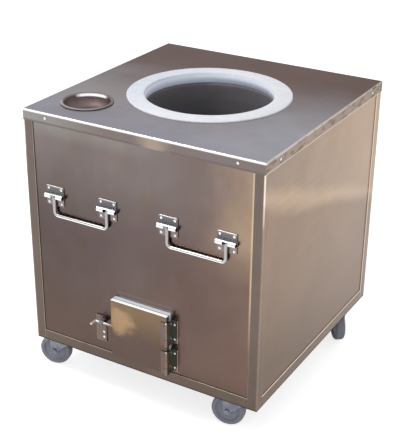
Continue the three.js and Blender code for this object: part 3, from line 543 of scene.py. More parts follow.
def hinge_steel():
    """Hinge leaves like the sheets around them, with painted tan highlights on the barrels, painted shade
    in the crank and painted light on the outer edge.
    """
    paint = coat("hinge_steel")
    # painted highlight on the barrel, painted shade in the crank and painted light on the leaf's outer
    # edge
    barrel = paint.step(paint.offset("X", HINGE_X), 5.2, 4.2)
    crank = paint.along("Y", HINGE_Y + 4, HINGE_Y + 6) * paint.along("X", HINGE_X + 15, HINGE_X + 12)
    edge = paint.along("X", HINGE_X + 18.8, HINGE_X + 19.8)
    colour = paint.layers(HINGE_LEAF, (barrel, HINGE_BARREL_HIGHLIGHT), (crank, HINGE_CRANK_SHADE), (edge, HINGE_EDGE_HIGHLIGHT))
    return brushed(paint, colour, metallic=1 - (crank * 0.7).most(edge * 0.8))


def bracket_steel():
    """Bracket plates like the sheet behind them, with painted blue-grey shade above the saddle and a
    painted highlight along the top.
    """
    paint = coat("bracket_steel")
    height = paint.along("Z", HANDLE_Z - HANDLE_PLATE / 2, HANDLE_Z + HANDLE_PLATE / 2)
    # painted shade above the saddle, and a painted highlight along the plate's top
    shade = paint.step(height, 0.55, 0.72) * paint.step(height, 0.94, 0.86)
    top = paint.step(height, 0.95, 0.99)
    return brushed(paint, paint.layers(BRACKET_PLATE, (shade * 0.8, BRACKET_SHADE), (top, BAIL_HIGHLIGHT)))


def bail_steel():
    """Handle rods: a painted highlight under the grip, and painted shade on top of it and on the legs."""
    paint = coat("bail_steel")
    grip = HANDLE_Z - BAIL_DROP
    top = paint.along("Z", grip - 1, grip + 1.5)
    legs = paint.along("Z", grip + 6, grip + 14)
    colour = paint.layers(BAIL_HIGHLIGHT, (top, BAIL_TOP_SHADE), (legs, BAIL_LEG_SHADE))
    return brushed(paint, colour, roughness=0.2, contrast=0.2)


def bolt_steel():
    """The bolt: a painted highlight at its bend, duller towards its tip."""
    paint = coat("bolt_steel")
    low, high = node_box("latch_bolt")
    dull = paint.along("X", low.x + 12, high.x - 6)
    colour = paint.layers(BOLT_HIGHLIGHT, (dull, BOLT_DULL))
    return brushed(paint, colour, roughness=0.24, contrast=0.2, metallic=0.35 + dull * 0.65)


def latch_mount_steel():
    """Latch plate like the sheet behind it, with a blue-grey guide."""
    paint = coat("latch_steel")
    out = paint.along("Y", -PLATE_BACK - 3, -PLATE_BACK - 5)
    return brushed(paint, paint.layers(LATCH_PLATE, (out, LATCH_GUIDE)), metallic=1 - out * 0.6)


def bright_steel():
    """Plated, polished steel with faint handling marks."""
    paint = coat("bright_steel", Metallic=1.0)
    marks = paint.noise(120.0, 4.0)
    colour = paint.layers(srgb(216, 217, 221), (paint.noise(25.0, 2.0), srgb(240, 241, 244)))
    rough = 0.24 + (marks - 0.5) * 0.14
    return paint.surface(colour, rough, marks, 0.1, 0.25)


def flashing_steel():
    """The door's surround: bright, with a painted glow along its upper edge."""
    paint = coat("flashing_steel", Metallic=0.15)
    top = node_box("door_surround")[1].z
    marks = paint.noise(120.0, 4.0)
    # painted glow along the upper edge
    paint.glow(paint.along("Z", top - 1.4, top - 0.5), SURROUND_GLOW)
    colour = paint.layers(srgb(216, 219, 224), (marks, srgb(240, 243, 247)))
    return paint.finish(Base_Color=colour, Roughness=0.23 + marks * 0.14)


def zinc_plate():
    """Blue-grey zinc plating with a mottled bloom and road dust."""
    paint = coat("zinc_plate", Metallic=0.8)
    clouds = paint.noise(60.0, 3.0)
    colour = paint.layers(srgb(112, 115, 125), (paint.step(clouds, 0.35, 0.7), srgb(142, 145, 155)))
    rough = 0.42 + (paint.cells(260.0) - 0.4) * 0.15 + (clouds - 0.5) * 0.12
    return paint.surface(colour, rough, clouds, 0.1, 0.3)


def dark_steel():
    """Plain mill steel, scaled and a little rusty."""
    paint = coat("dark_steel", Metallic=0.8)
    scale = paint.noise(40.0, 5.0)
    rust = paint.step(paint.noise(18.0, 4.0), 0.58, 0.72)
    colour = paint.layers(srgb(52, 50, 50), (scale, srgb(88, 84, 82)), (rust * 0.6, srgb(104, 70, 50)))
    rough = 0.55 + scale * 0.25
    return paint.surface(colour, rough, scale, 0.3, 0.5)


def cast_iron():
    """Rough cast iron, sooty, with grey ash in its hollows."""
    paint = coat("cast_iron", Metallic=0.5)
    sand = paint.noise(300.0, 4.0)
    ash = paint.step(paint.noise(26.0, 4.0), 0.5, 0.66)
    colour = paint.layers(srgb(34, 32, 32), (sand, srgb(58, 55, 53)), (ash * 0.55, srgb(126, 120, 114)))
    return paint.surface(colour, 0.8, sand, 0.5, 0.8)


def refractory():
    """White castable: trowelled and faintly pitted, with painted shade towards its left and a painted
    glow on its inner wall.
    """
    paint = coat("refractory")
    grit = paint.noise(420.0, 5.0)
    trowel = paint.noise(36.0, 4.0)
    pits = paint.step(paint.cells(170.0), 0.24, 0.06)
    spots = paint.step(paint.noise(90.0, 3.0), 0.6, 0.74)
    colour = paint.layers(
        srgb(226, 229, 237), (trowel, srgb(250, 251, 255)),
        (pits * 0.35 + spots * 0.2, srgb(176, 179, 188)),
    )
    # painted shade towards the left
    colour = paint.shaded(paint.along("X", -40, -240), colour, srgb(236, 239, 246))
    # painted glow on the inner wall
    paint.glow(paint.along("Z", RING_TOP - 3, RING_TOP - 7), RING_WALL_GLOW)
    return paint.surface(colour, 0.86, grit * 0.35 + trowel - pits * 0.5, 1.2, 0.6)


def fired_clay():
    """Unglazed clay: fired red low in the pot and grey with ash and smoke towards its neck."""
    paint = coat("fired_clay")
    body = paint.noise(14.0, 5.0)
    smoke = paint.step(paint.along("Z", 150, 600) + (body - 0.5) * 0.4, 0.1, 0.8)
    red = paint.layers(srgb(126, 88, 68), (body, srgb(150, 110, 86)))
    ash = paint.layers(srgb(118, 116, 119), (body, srgb(134, 133, 136)))
    colour = paint.layers(red, (smoke * 0.96, ash))
    return paint.surface(colour, 0.95, body * 0.5 + paint.noise(260.0, 4.0) * 0.3, 1.5, 0.5)


def loose_fill():
    """Packed mineral fill: pale fibres and crumbs."""
    paint = coat("loose_fill")
    tufts = paint.noise(45.0, 5.0)
    colour = paint.layers(srgb(150, 138, 116), (tufts, srgb(206, 196, 172)))
    return paint.surface(colour, 1.0, paint.cells(140.0) + tufts, 4, 0.9)


def fire_brick():
    """Buff fire brick dusted with ash."""
    paint = coat("fire_brick")
    grit = paint.noise(190.0, 5.0)
    ash = paint.step(paint.noise(20.0, 4.0), 0.4, 0.7)
    course = {"Brick Width": 0.23, "Row Height": 0.115, "Mortar Size": 0.003}
    joints = paint.node("TexBrick", {}, {"Vector": paint.place(), "Scale": 1.0, **course}, "Fac")
    colour = paint.layers(
        srgb(170, 148, 112), (grit, srgb(206, 188, 152)), (ash * 0.7, srgb(120, 116, 112)),
        (joints * 0.8, srgb(98, 90, 80)),
    )
    return paint.surface(colour, 0.95, grit * 0.3 - joints, 2, 0.8)


def wheel_rubber():
    """Blue-grey moulded tread, scuffed and dusty."""
    paint = coat("wheel_rubber", Specular_IOR_Level=0.35)
    scuffs = paint.noise(70.0, 5.0)
    dust = paint.step(paint.noise(22.0, 3.0), 0.45, 0.7)
    colour = paint.layers(
        srgb(128, 131, 143), (scuffs, srgb(158, 160, 172)), (dust * 0.45, srgb(164, 162, 164)),
    )
    rough = 0.55 + scuffs * 0.3
    return paint.surface(colour, rough, scuffs, 0.6, 0.5)


def wheel_hub():
    """The wheel's moulded core, as pale as its tread and smoother."""
    paint = coat("wheel_hub", Specular_IOR_Level=0.45)
    marks = paint.noise(110.0, 4.0)
    colour = paint.layers(srgb(130, 133, 146), (marks, srgb(156, 158, 171)))
    rough = 0.45 + marks * 0.2
    return paint.surface(colour, rough, marks, 0.4, 0.4)


front_sheet = front_steel()
side_sheet = side_steel()
post_angle = frame_steel("post_steel")
rail_angle = frame_steel("rail_steel", node_box("bottom_rail_front")[1].z)
plate_steel = bracket_steel()
handle_steel = bail_steel()
hinge_leaf = hinge_steel()
polished = bright_steel()
zinc = zinc_plate()
mill_steel = dark_steel()
tread = wheel_rubber()
hub = wheel_hub()


# -------- mesh building
HERE = Matrix.Identity(4)
FACING = Matrix.Rotation(math.pi / 2, 4, "X")
SIDEWAYS = Matrix.Rotation(math.pi / 2, 4, "Y")


def at(x, y, z):
    return Matrix.Translation((x, y, z))


def full_turn(count):
    return [2 * math.pi * k / count for k in range(count)]


def part_turn(start, turn, steps):
    return [start + turn * k / steps for k in range(steps + 1)]


def polar(radius, angle, x=0.0, y=0.0):
    return x + radius * math.cos(angle), y + radius * math.sin(angle)


class Form:
    """A mesh under construction, in millimetres. Each shape is added under a matrix."""

    def __init__(self, matrix=HERE):
        self.mesh = bmesh.new()
        self.matrix = matrix

    def point(self, x, y, z, matrix=HERE):
        return self.mesh.verts.new(self.matrix @ (matrix @ Vector((x, y, z))))

    def box(self, low, high):
        outline = [(low[0], low[1]), (high[0], low[1]), (high[0], high[1]), (low[0], high[1])]
        self.prism(outline, low[2], high[2])

    def prism(self, outline, low, high, matrix=HERE):
        """An outline in X and Y, counter-clockwise, drawn out along Z."""
        foot = [self.point(x, y, low, matrix) for x, y in outline]
        head = [self.point(x, y, high, matrix) for x, y in outline]
        self.mesh.faces.new(foot[::-1])
        self.mesh.faces.new(head)
        self.skin(foot, head)

    def skin(self, first, second):
        """Faces between two closed rings of points, one of which may be a single point."""
        count = max(len(first), len(second))
        for i in range(count):
            j = (i + 1) % count
            a, b = (first[i], first[j]) if len(first) > 1 else (first[0], first[0])
            c, d = (second[j], second[i]) if len(second) > 1 else (second[0], second[0])
            self.mesh.faces.new(tuple(dict.fromkeys((a, b, c, d))))

    def turned(self, profile, sides, matrix=HERE, ripple=None):
        """Radius and height pairs turned about Z. The outline runs up outside and down inside."""
        rings = []
        for radius, height in profile:
            ring = []
            for angle in full_turn(sides if radius else 1):
                swell = ripple(angle, radius, height) if ripple else 0
                ring.append(self.point(*polar(radius + swell, angle), height, matrix))
            rings.append(ring)
        pairs = list(zip(rings, rings[1:]))
        if len(rings[0]) > 1:
            pairs.append((rings[-1], rings[0]))
        for first, second in pairs:
            self.skin(first, second)

    def rod(self, path, radius, sides):
        """A round rod along a path of points, with slightly rounded ends."""
        last = len(path) - 1
        tip = 0.25
        ends = {0: [(1 - tip, 0), (1, tip)], last: [(1, -tip), (1 - tip, 0)]}
        across = (path[0] - path[1]).normalized().orthogonal().normalized()
        rings = []
        for i, centre in enumerate(path):
            way = (path[min(i + 1, last)] - path[max(i - 1, 0)]).normalized()
            across = (across - way * across.dot(way)).normalized()
            up = way.cross(across)
            for share, shift in ends.get(i, [(1, 0)]):
                ring = []
                for angle in full_turn(sides):
                    x, y = polar(radius * share, angle)
                    ring.append(self.point(*(centre + way * shift * radius + across * x + up * y)))
                rings.append(ring)
        for first, second in zip(rings, rings[1:]):
            self.skin(first, second)
        self.mesh.faces.new(rings[0][::-1])
        self.mesh.faces.new(rings[-1])

    def dome(self, x, y, z, matrix=HERE, radius=4.0, rise=2.0):
        """A pan head on a face that looks along -Y, with a small dimple in its crown."""
        rim = rise * 0.35
        profile = [(0, -0.5), (radius, -0.5), (radius, rim)]
        profile += [(radius * math.cos(t), rim + (rise - rim) * math.sin(t)) for t in (0.45, 0.85, 1.2)]
        profile += [(radius * 0.24, rise * 0.98), (radius * 0.16, rise * 0.6), (0, rise * 0.55)]
        self.turned(profile, 20, matrix @ at(x, y, z) @ FACING)

    def nut(self, x, y, z, across, height, matrix=HERE):
        """A hexagon nut or head that stands along Z."""
        outline = [polar(across / math.sqrt(3), angle) for angle in full_turn(6)]
        self.prism(outline, 0, height, matrix @ at(x, y, z))


def rounded(width, height, radius, x=0.0, steps=5):
    """A rectangle with round corners, counter-clockwise."""
    outline = []
    for sx, sy, start in ((1, -1, -0.5), (1, 1, 0.0), (-1, 1, 0.5), (-1, -1, 1.0)):
        cx, cy = x + sx * (width / 2 - radius), sy * (height / 2 - radius)
        outline += [polar(radius, a, cx, cy) for a in part_turn(start * math.pi, math.pi / 2, steps)]
    return outline


def bent(corners, radii):
    """A path of points through corners, each inner one rounded to its radius."""
    points = [Vector(corner) for corner in corners]
    path = [points[0]]
    for start, corner, end, radius in zip(points, points[1:], points[2:], radii):
        before = (corner - start).normalized()
        after = (end - corner).normalized()
        centre = corner - before * radius + after * radius
        for angle in part_turn(0, math.pi / 2, 8):
            x, y = polar(radius, angle)
            path.append(centre - after * x + before * y)
    return path + [points[-1]]


def smooth_edges(part, bevel, segments=2):
    """Softens a piece's corners and keeps its flats flat."""
    part.modifiers.new("weld", "WELD").merge_threshold = 1e-6
    if bevel:
        edge = part.modifiers.new("edge", "BEVEL")
        edge.width = bevel * MM
        edge.segments = segments
        edge.limit_method = "ANGLE"
        edge.angle_limit = math.radians(32)
    part.modifiers.new("flats", "WEIGHTED_NORMAL").keep_sharp = True
    for face in part.data.polygons:
        face.use_smooth = True


def shown(name, data):
    made = bpy.data.objects.new(name, data)
    bpy.context.scene.collection.objects.link(made)
    return made


def formed(name, form):
    """An object made of a form, which ends there."""
    bmesh.ops.recalc_face_normals(form.mesh, faces=form.mesh.faces)
    mesh = bpy.data.meshes.new(name)
    form.mesh.transform(OVEN)
    form.mesh.to_mesh(mesh)
    form.mesh.free()
    return shown(name, mesh)


def piece(name, form, body, material, replaces=(), bevel=0.0, segments=2):
    """Turns a form into a piece that moves with a body."""
    made = formed(name, form)
    made.data.materials.append(material)
    smooth_edges(made, bevel, segments)
    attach(made, body)
    if replaces:
        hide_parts(*replaces)
    return made


def carve(target, form):
    """Cuts a form out of a finished piece."""
    tool = formed("tool", form)
    cutting = target.modifiers.new("cut", "BOOLEAN")
    cutting.operation = "DIFFERENCE"
    cutting.solver = "EXACT"
    cutting.object = tool
    bpy.context.view_layer.update()
    shaped = target.evaluated_get(bpy.context.evaluated_depsgraph_get())
    target.data = bpy.data.meshes.new_from_object(shaped)
    target.modifiers.clear()
    bpy.data.objects.remove(tool)
    smooth_edges(target, 0)


# -------- frame and cladding
def dress(node, material, bevel=0.0, segments=2):
    """Gives a construction node its finish, and softens its corners."""
    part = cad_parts[node]
    part.data.materials.clear()
    part.data.materials.append(material)
    smooth_edges(part, bevel, segments)


def dress_frame():
    for corner in HEADINGS:
        dress(f"post_{corner}", post_angle, 0.9, 3)
    for side in ("front", "right", "back", "left"):
        dress(f"bottom_rail_{side}", rail_angle, 0.8)
        dress(f"top_rail_{side}", mill_steel, 0.8)
        dress(f"panel_{side}", front_sheet if side in ("front", "back") else side_sheet)
    dress("base_plate", mill_steel, 0.5)
    dress("insulation_fill", loose_fill())
    dress("hearth_slab", fire_brick(), 1.0)
    dress("ash_duct", mill_steel, 0.4)
    dress("fire_grate", cast_iron(), 1.2)
    dress("door_surround", flashing_steel(), 0.5)


# -------- lid
def lid():
    """A folded sheet with two round holes, its seams closed at the corners."""
    form = Form()
    mesh = form.mesh

    def ring(outline, height):
        return [form.point(x, y, height) for x, y in outline]

    def square(half, height, corner):
        return ring(rounded(2 * half, 2 * half, corner, steps=4), height)

    def hole(x, y, radius, sides, height):
        return ring([polar(radius, angle, x, y) for angle in full_turn(sides)], height)

    loops = []
    for angle in part_turn(0, math.pi / 2, 5):
        inset = LID_FOLD * (1 - math.sin(angle))
        drop = LID_FOLD * (1 - math.cos(angle))
        loops.append(square(LID_HALF - inset, LID_TOP - drop, LID_CORNER - inset * 0.5))
    loops.append(square(LID_HALF, LID_FOOT, LID_CORNER))
    for height in (LID_FOOT, LID_TOP - LID_SHEET):
        loops.append(square(LID_HALF - LID_SHEET, height, LID_FOLD))
    for first, second in zip(loops, loops[1:]):
        form.skin(first, second)
    faces = []
    for height, outer in ((LID_TOP, loops[0]), (LID_TOP - LID_SHEET, loops[-1])):
        holes = [hole(0, 0, RING_HOLE, 120, height), hole(CUP_X, CUP_Y, CUP_HOLE, 64, height)]
        edges = []
        for loop in (outer, *holes):
            for ends in zip(loop, loop[1:] + loop[:1]):
                edges.append(mesh.edges.get(ends) or mesh.edges.new(ends))
        bmesh.ops.triangle_fill(mesh, use_beauty=True, use_dissolve=False, edges=edges)
        faces.append(holes)
    for above, below in zip(*faces):
        form.skin(above, below)
    piece("lid_sheet", form, "housing", lid_steel(), ["lid"])


def lid_screws():
    form = Form()
    for quarter in range(4):
        turn = Matrix.Rotation(math.pi / 2 * quarter, 4, "Z")
        for x in (-SKIRT_SCREW_X, SKIRT_SCREW_X):
            form.dome(x, -LID_HALF, LID_TOP - SKIRT_SCREW_DROP, turn)
    piece("lid_screws", form, "housing", polished)


# -------- mouth ring, pot and cup
def uneven(angle, radius, height):
    """How far the hand-trowelled ring strays from a true turning."""
    spot = Vector((*polar(2.1, angle), height * 0.02 + radius * 0.01))
    return 0.9 * noise.noise(spot) - 0.5


def mouth_ring():
    """Cast mouth ring: a flat crown that rolls into an upright wall."""
    rim = RING_OUTSIDE
    crown = [
        (rim, RING_FOOT), (rim, LID_TOP + 1.2), (rim - 1.2, LID_TOP + 2.6), (rim - 4, LID_TOP + 3.8),
        (rim - 10, RING_TOP - 0.8), (rim - 24, RING_TOP), (MOUTH + 14, RING_TOP),
        (MOUTH + 6.5, RING_TOP - 0.4), (MOUTH + 3.6, RING_TOP - 1.4), (MOUTH + 2, RING_TOP - 3.2),
        (MOUTH + 1.2, RING_TOP - 6), (MOUTH + 0.8, RING_TOP - 12), (MOUTH + 0.8, RING_FOOT),
    ]
    form = Form()
    form.turned(crown, 144, ripple=uneven)
    piece("mouth_ring_cast", form, "housing", refractory(), ["mouth_ring"])


def pot_radius(share):
    """The pot's inside radius at a share of its height, between the stations of its curve."""
    for (s0, r0), (s1, r1) in zip(POT_CURVE, POT_CURVE[1:]):
        if share <= s1:
            return r0 + (r1 - r0) * (share - s0) / (s1 - s0)


def ridges(angle, radius, level):
    """The coils of a hand-built pot, which show as soft ridges round its wall."""
    spot = Vector((*polar(1.6, angle), level * 0.012))
    return 0.4 * math.sin(level * 0.16 + noise.noise(spot) * 1.5) + 1.2 * noise.noise(spot * 2) - 1.6


def clay_pot():
    """Coiled pot with a port at its foot for air and ash."""
    low, high = node_box("clay_pot")
    flats = math.cos(math.pi / 32)
    rows = 60
    stations = [(pot_radius(k / rows), low.z + (high.z - low.z) * k / rows) for k in range(rows + 1)]
    outside = [((radius + POT_WALL) * flats, level) for radius, level in stations]
    inside = [(radius + 3.0, level) for radius, level in stations[::-1]]
    form = Form()
    form.turned(outside + inside, 96, ripple=ridges)
    pot = piece("pot_wall", form, "housing", fired_clay(), ["clay_pot"])
    port = Form()
    port.box(
        (DOOR_X - PORT_HALF, -PANEL_FACE, DOOR_Z - PORT_HALF),
        (DOOR_X + PORT_HALF, -110, DOOR_Z + PORT_HALF),
    )
    carve(pot, port)


def water_cup():
    """Spun bowl with a rolled rim."""
    floor = LID_TOP - 34.8
    rim = LID_TOP + 0.3
    profile = [
        (0, floor), (38, floor), (46, floor + 0.8), (54, floor + 4.4), (61, floor + 11),
        (66, floor + 20), (68.4, floor + 29), (69, rim - 0.3), (69.4, rim), (75, rim),
        (76, rim + 0.7), (76, rim + 1.8), (75, rim + 3), (73.2, rim + 3.8), (71, rim + 3.8),
        (68.6, rim + 2.9), (67.2, rim + 1.2), (66.6, rim - 3), (65.6, floor + 27), (63.8, floor + 20),
        (59.4, floor + 12), (52.8, floor + 5.8), (45, floor + 2.2), (38, floor + 1.5), (0, floor + 1.5),
    ]
    form = Form(at(CUP_X, CUP_Y, 0))
    form.turned(profile, 80)
    piece("cup_bowl", form, "water_cup", cup_steel(), ["water_cup"])


# -------- fire door, hinges and latch
def fire_door():
    """Folded pan: a face with four return flanges, and a hole for the bolt."""
    form = Form()
    middle = at(DOOR_X, 0, DOOR_Z)
    inner = DOOR_HALF - DOOR_SHEET

    def ring(size, y):
        corners = ((-size, -size), (size, -size), (size, size), (-size, size))
        return [form.point(x, y, z, middle) for x, z in corners]

    back_outer, face_outer = ring(DOOR_HALF, -DOOR_BACK), ring(DOOR_HALF, -DOOR_FACE)
    face_inner, back_inner = ring(inner, -DOOR_FACE + DOOR_SHEET), ring(inner, -DOOR_BACK)
    form.skin(back_outer, face_outer)
    form.mesh.faces.new(face_outer)
    form.mesh.faces.new(face_inner)
    form.skin(face_inner, back_inner)
    form.skin(back_inner, back_outer)
    door = piece("door_pan", form, "door", door_steel(), ["fire_door"], 1.1, 4)
    hole = Form()
    profile = [(0, -4), (BOLT_BORE, -4), (BOLT_BORE, 4), (0, 4)]
    hole.turned(profile, 24, at(DOOR_X - DOOR_HALF, -BOLT_OUT, BOLT_Z) @ SIDEWAYS)
    carve(door, hole)


def barrel(form, low, high):
    """A rolled knuckle with a bore for the pin."""
    edge = 0.35
    form.turned([
        (HINGE_BORE, low), (HINGE_BARREL - edge, low), (HINGE_BARREL, low + edge),
        (HINGE_BARREL, high - edge), (HINGE_BARREL - edge, high), (HINGE_BORE, high),
    ], 28)


def hinge(name):
    """A butt hinge: a cranked leaf on the cladding, a flat leaf on the door, and a loose pin."""
    place = at(HINGE_X, HINGE_Y, node_middle(f"{name}_frame_leaf").z)
    knuckle = HINGE_HALF / 3
    gap = 0.2
    back = -HINGE_Y - PLATE_BACK

    fixed = Form(place)
    front, inside = back - LEAF_SHEET, HINGE_BARREL - LEAF_SHEET
    crank = [
        (inside, 2.6), (HINGE_BARREL, 2.6), (HINGE_BARREL, front), (LEAF_EDGE, front), (LEAF_EDGE, back),
        (inside, back),
    ]
    fixed.prism(crank, -HINGE_HALF, HINGE_HALF)
    for low, high in ((-HINGE_HALF, -knuckle - gap), (knuckle + gap, HINGE_HALF)):
        barrel(fixed, low, high)
        fixed.box((3.2, 0, low), (HINGE_BARREL, 2.8, high))
    leaf = [f"{name}_frame_leaf"]
    piece(f"{name}_leaf_on_frame", fixed, "housing", hinge_leaf, leaf, 0.35)

    moving = Form(place)
    moving.box((-LEAF_EDGE, inside, -HINGE_HALF), (-5.2, HINGE_BARREL, HINGE_HALF))
    barrel(moving, -knuckle + gap, knuckle - gap)
    moving.box((-5.4, 2.7, -knuckle + gap), (-1.5, HINGE_BARREL, knuckle - gap))
    leaf = [f"{name}_door_leaf"]
    piece(f"{name}_leaf_on_door", moving, "door", hinge_leaf, leaf, 0.35)

    for body, x, y, metal in (("housing", 9.8, front, polished), ("door", -8.5, inside, hinge_leaf)):
        heads = Form(place)
        for level in (-LEAF_SCREW, LEAF_SCREW):
            heads.dome(x, y, level, radius=3.8, rise=1.8)
        piece(f"{name}_screws_in_{body}", heads, body, metal)

    pin = Form(place)
    top = HINGE_HALF
    pin.turned([
        (0, -top), (2.1, -top), (2.5, -top + 0.5), (2.5, top + 0.3), (3.5, top + 0.5), (3.5, top + 1.4),
        (2.8, top + 2.4), (1.6, top + 2.9), (0, top + 3),
    ], 24)
    piece(f"{name}_pin_turned", pin, "housing", polished, [f"{name}_pin"])


def strap(inner, outer, out, sweep=math.pi):
    """The outline of a half-round strap over a rod, or of a shell of it that ends at its sweep."""
    foot = -PLATE_BACK - 2
    over = [(-outer, foot), *(polar(-outer, a, 0, -out) for a in part_turn(0, sweep, 12))]
    if sweep < math.pi:
        return [*over, (-inner, foot)]
    under = [*(polar(-inner, a, 0, -out) for a in part_turn(math.pi, -math.pi, 12)), (-inner, foot)]
    return [*over, (outer, foot), (inner, foot), *under]


def latch():
    """A plate with a strap guide, and the bent rod that slides in it."""
    mount = Form()
    low, high = node_box("latch_plate")
    middle = at((low.x + high.x) / 2, -PLATE_BACK, (low.z + high.z) / 2)
    mount.prism(rounded(high.x - low.x, high.z - low.z, 2.5), 0, PLATE_SHEET, middle @ FACING)
    half = (GUIDE_HIGH - GUIDE_LOW) / 2
    across = at((GUIDE_LOW + GUIDE_HIGH) / 2, 0, BOLT_Z) @ Matrix.Rotation(-math.pi / 2, 4, "Y")
    mount.prism(strap(BOLT_BORE, BOLT_BORE + 2.6, BOLT_OUT), -half, half, across)
    heads = Form()
    for drop in (40, 57):
        heads.dome(high.x - 8, -PLATE_BACK - PLATE_SHEET, BOLT_Z - drop, radius=3.8, rise=1.9)
    piece("latch_screws", heads, "housing", polished)
    piece("latch_mount", mount, "housing", latch_mount_steel(), ["latch_plate"], 0.4)

    low, high = node_box("latch_bolt")
    bend = low.x + BOLT_RADIUS
    path = bent([(bend, low.y, BOLT_Z), (bend, -BOLT_OUT, BOLT_Z), (high.x, -BOLT_OUT, BOLT_Z)], [5])
    rod = Form()
    rod.rod(path, BOLT_RADIUS, 20)
    piece("latch_rod", rod, "latch_bolt", bolt_steel(), ["latch_bolt"])


# -------- drop handles
def bracket(name, node, matrix):
    """A screwed plate under a half-round saddle that is notched for the handle's leg."""
    plate = Form(matrix)
    plate.prism(rounded(HANDLE_PLATE, HANDLE_PLATE, 4), 0, PLATE_SHEET, at(0, -PLATE_BACK, 0) @ FACING)
    piece(f"{name}_plate", plate, "housing", plate_steel, [node], 0.4)

    inner, outer, out = 5.6, 7.8, PANEL_FACE + PIVOT_OUT
    arch = strap(inner, outer, out)
    over_leg = strap(inner, outer, out, math.acos(inner / outer))
    saddle = Form(matrix)
    ends = (-SADDLE_END, -SADDLE_NOTCH, arch), (SADDLE_NOTCH, SADDLE_END, arch)
    for low, high, outline in (*ends, (-10, 10, over_leg)):
        saddle.prism(outline, (low - high) / 2, (high - low) / 2, at((low + high) / 2, 0, 0) @ SIDEWAYS)
    piece(f"{name}_saddle", saddle, "housing", polished, bevel=0.4)

    heads = Form(matrix)
    for x in (-HANDLE_SCREW, HANDLE_SCREW):
        for z in (-HANDLE_SCREW, HANDLE_SCREW):
            heads.dome(x, -PLATE_BACK - PLATE_SHEET, z)
    piece(f"{name}_screws", heads, "housing", polished)


def bail(name, node, matrix):
    """A round rod bent into a drop handle, whose ends turn out into its two saddles."""
    form = Form(matrix)
    out = -(PANEL_FACE + PIVOT_OUT)
    half, end = BAIL_HALF, BAIL_HALF + 22
    corners = [(-end, 0), (-half, 0), (-half, -BAIL_DROP), (half, -BAIL_DROP), (half, 0), (end, 0)]
    form.rod(bent([(x, out, z) for x, z in corners], [8, 12, 12, 8]), BAIL_RADIUS, 24)
    piece(name, form, node, handle_steel, [node])


def handles():
    for face, turn in (("front", 0), ("back", math.pi)):
        wall = Matrix.Rotation(turn, 4, "Z")
        for side in ("left", "right"):
            name = f"handle_{face}_{side}"
            x = node_middle(f"{name}_bail").x * math.cos(turn)
            centre = wall @ at(x, 0, HANDLE_Z)
            for letter, shift in (("a", -BAIL_HALF), ("b", BAIL_HALF)):
                bracket(f"{name}_holder_{letter}", f"{name}_bracket_{letter}", centre @ at(shift, 0, 0))
            bail(f"{name}_rod", f"{name}_bail", centre)


# -------- casters
def caster_top(name, matrix):
    """Mounting plate with its upper ball race, kingpin and four bolts."""
    form = Form(matrix)
    form.prism(rounded(CASTER_PLATE, CASTER_PLATE, 7), CASTER_TOP - CROWN_SHEET, CASTER_TOP)
    form.turned([(0, 110.8), (25, 110.8), (26.6, 111.6), (27, 112.6), (27.6, 114.2), (0, 114.2)], 48)
    form.turned([(0, 97), (8.6, 97), (9.6, 98), (9.6, 102.4), (6, 102.4), (6, 114.2), (0, 114.2)], 32)
    for x in (-CASTER_BOLT, CASTER_BOLT):
        for y in (-CASTER_BOLT, CASTER_BOLT):
            form.nut(x, y, 110.2, 9.4, 3.9)
    piece(f"{name}_top_plate", form, "housing", zinc, [f"{name}_plate"], 0.4)


def caster_yoke(name, matrix):
    """Pressed fork: a domed crown, two raked legs and the axle bolt."""
    form = Form(matrix)
    crown = rounded(CASTER_TRAIL + 28.5, 2 * FORK_HALF, 6, x=(CASTER_TRAIL + 1) / 2)
    form.prism(crown, FORK_TOP - CROWN_SHEET, FORK_TOP)
    form.turned([(6.6, 103), (23, 103), (25, 104.4), (25, 109.2), (24, 110), (6.6, 110)], 48)
    sweep = part_turn(1.05 * math.pi, 0.93 * math.pi, 10)
    leg = [(-13.7, FORK_TOP), (-13.7, 97), (-12, 93)]
    leg += [polar(11, angle, CASTER_TRAIL, WHEEL_RADIUS) for angle in sweep]
    leg += [(CASTER_TRAIL + 14, 94), (CASTER_TRAIL + 14.7, FORK_TOP)]
    half = FORK_SHEET / 2
    for y in (-FORK_HALF + half, FORK_HALF - half):
        form.prism(leg, -half, half, at(0, y, 0) @ FACING)
    axle = at(CASTER_TRAIL, 0, WHEEL_RADIUS) @ FACING
    end = FORK_HALF + 2
    form.turned([(0, -end), (6, -end), (6, end), (0, end)], 28, axle)
    for y in (-FORK_HALF - 3.5, FORK_HALF - 0.1):
        form.nut(0, 0, y, 13.4, 3.6, axle)
    piece(f"{name}_yoke", form, f"{name}_fork", zinc, [f"{name}_fork"], 0.5)


def caster_wheel(name, matrix):
    """A moulded tread on a dished core with a bushed hub."""
    axle = matrix @ at(CASTER_TRAIL, 0, WHEEL_RADIUS) @ FACING
    half = WHEEL_HALF

    def both_sides(right):
        return (right + [(r, -z) for r, z in right[::-1]])[::-1]

    tyre = Form(axle)
    tyre.turned(both_sides([
        (35.6, half - 5), (36.4, half - 2), (37.6, half - 0.6), (39.5, half), (43.5, half),
        (44.3, half - 0.5), (45.2, half - 0.4), (47.4, half - 1.8), (49.2, half - 4.2), (49.9, half - 7),
        (WHEEL_RADIUS, half - 10),
    ]), 96)
    piece(f"{name}_tread", tyre, f"{name}_wheel", tread, [f"{name}_wheel"])

    core = Form(axle)
    core.turned(both_sides([
        (6.6, 16.4), (11, 16.4), (12.2, 15.8), (13.4, 13), (15.4, half - 6.4), (18, half - 7.4),
        (31, half - 7.4), (33.4, half - 6), (34.6, half - 3.4), (36.2, half - 3.2), (36.2, half - 6),
    ]), 72)
    piece(f"{name}_core", core, f"{name}_wheel", hub)


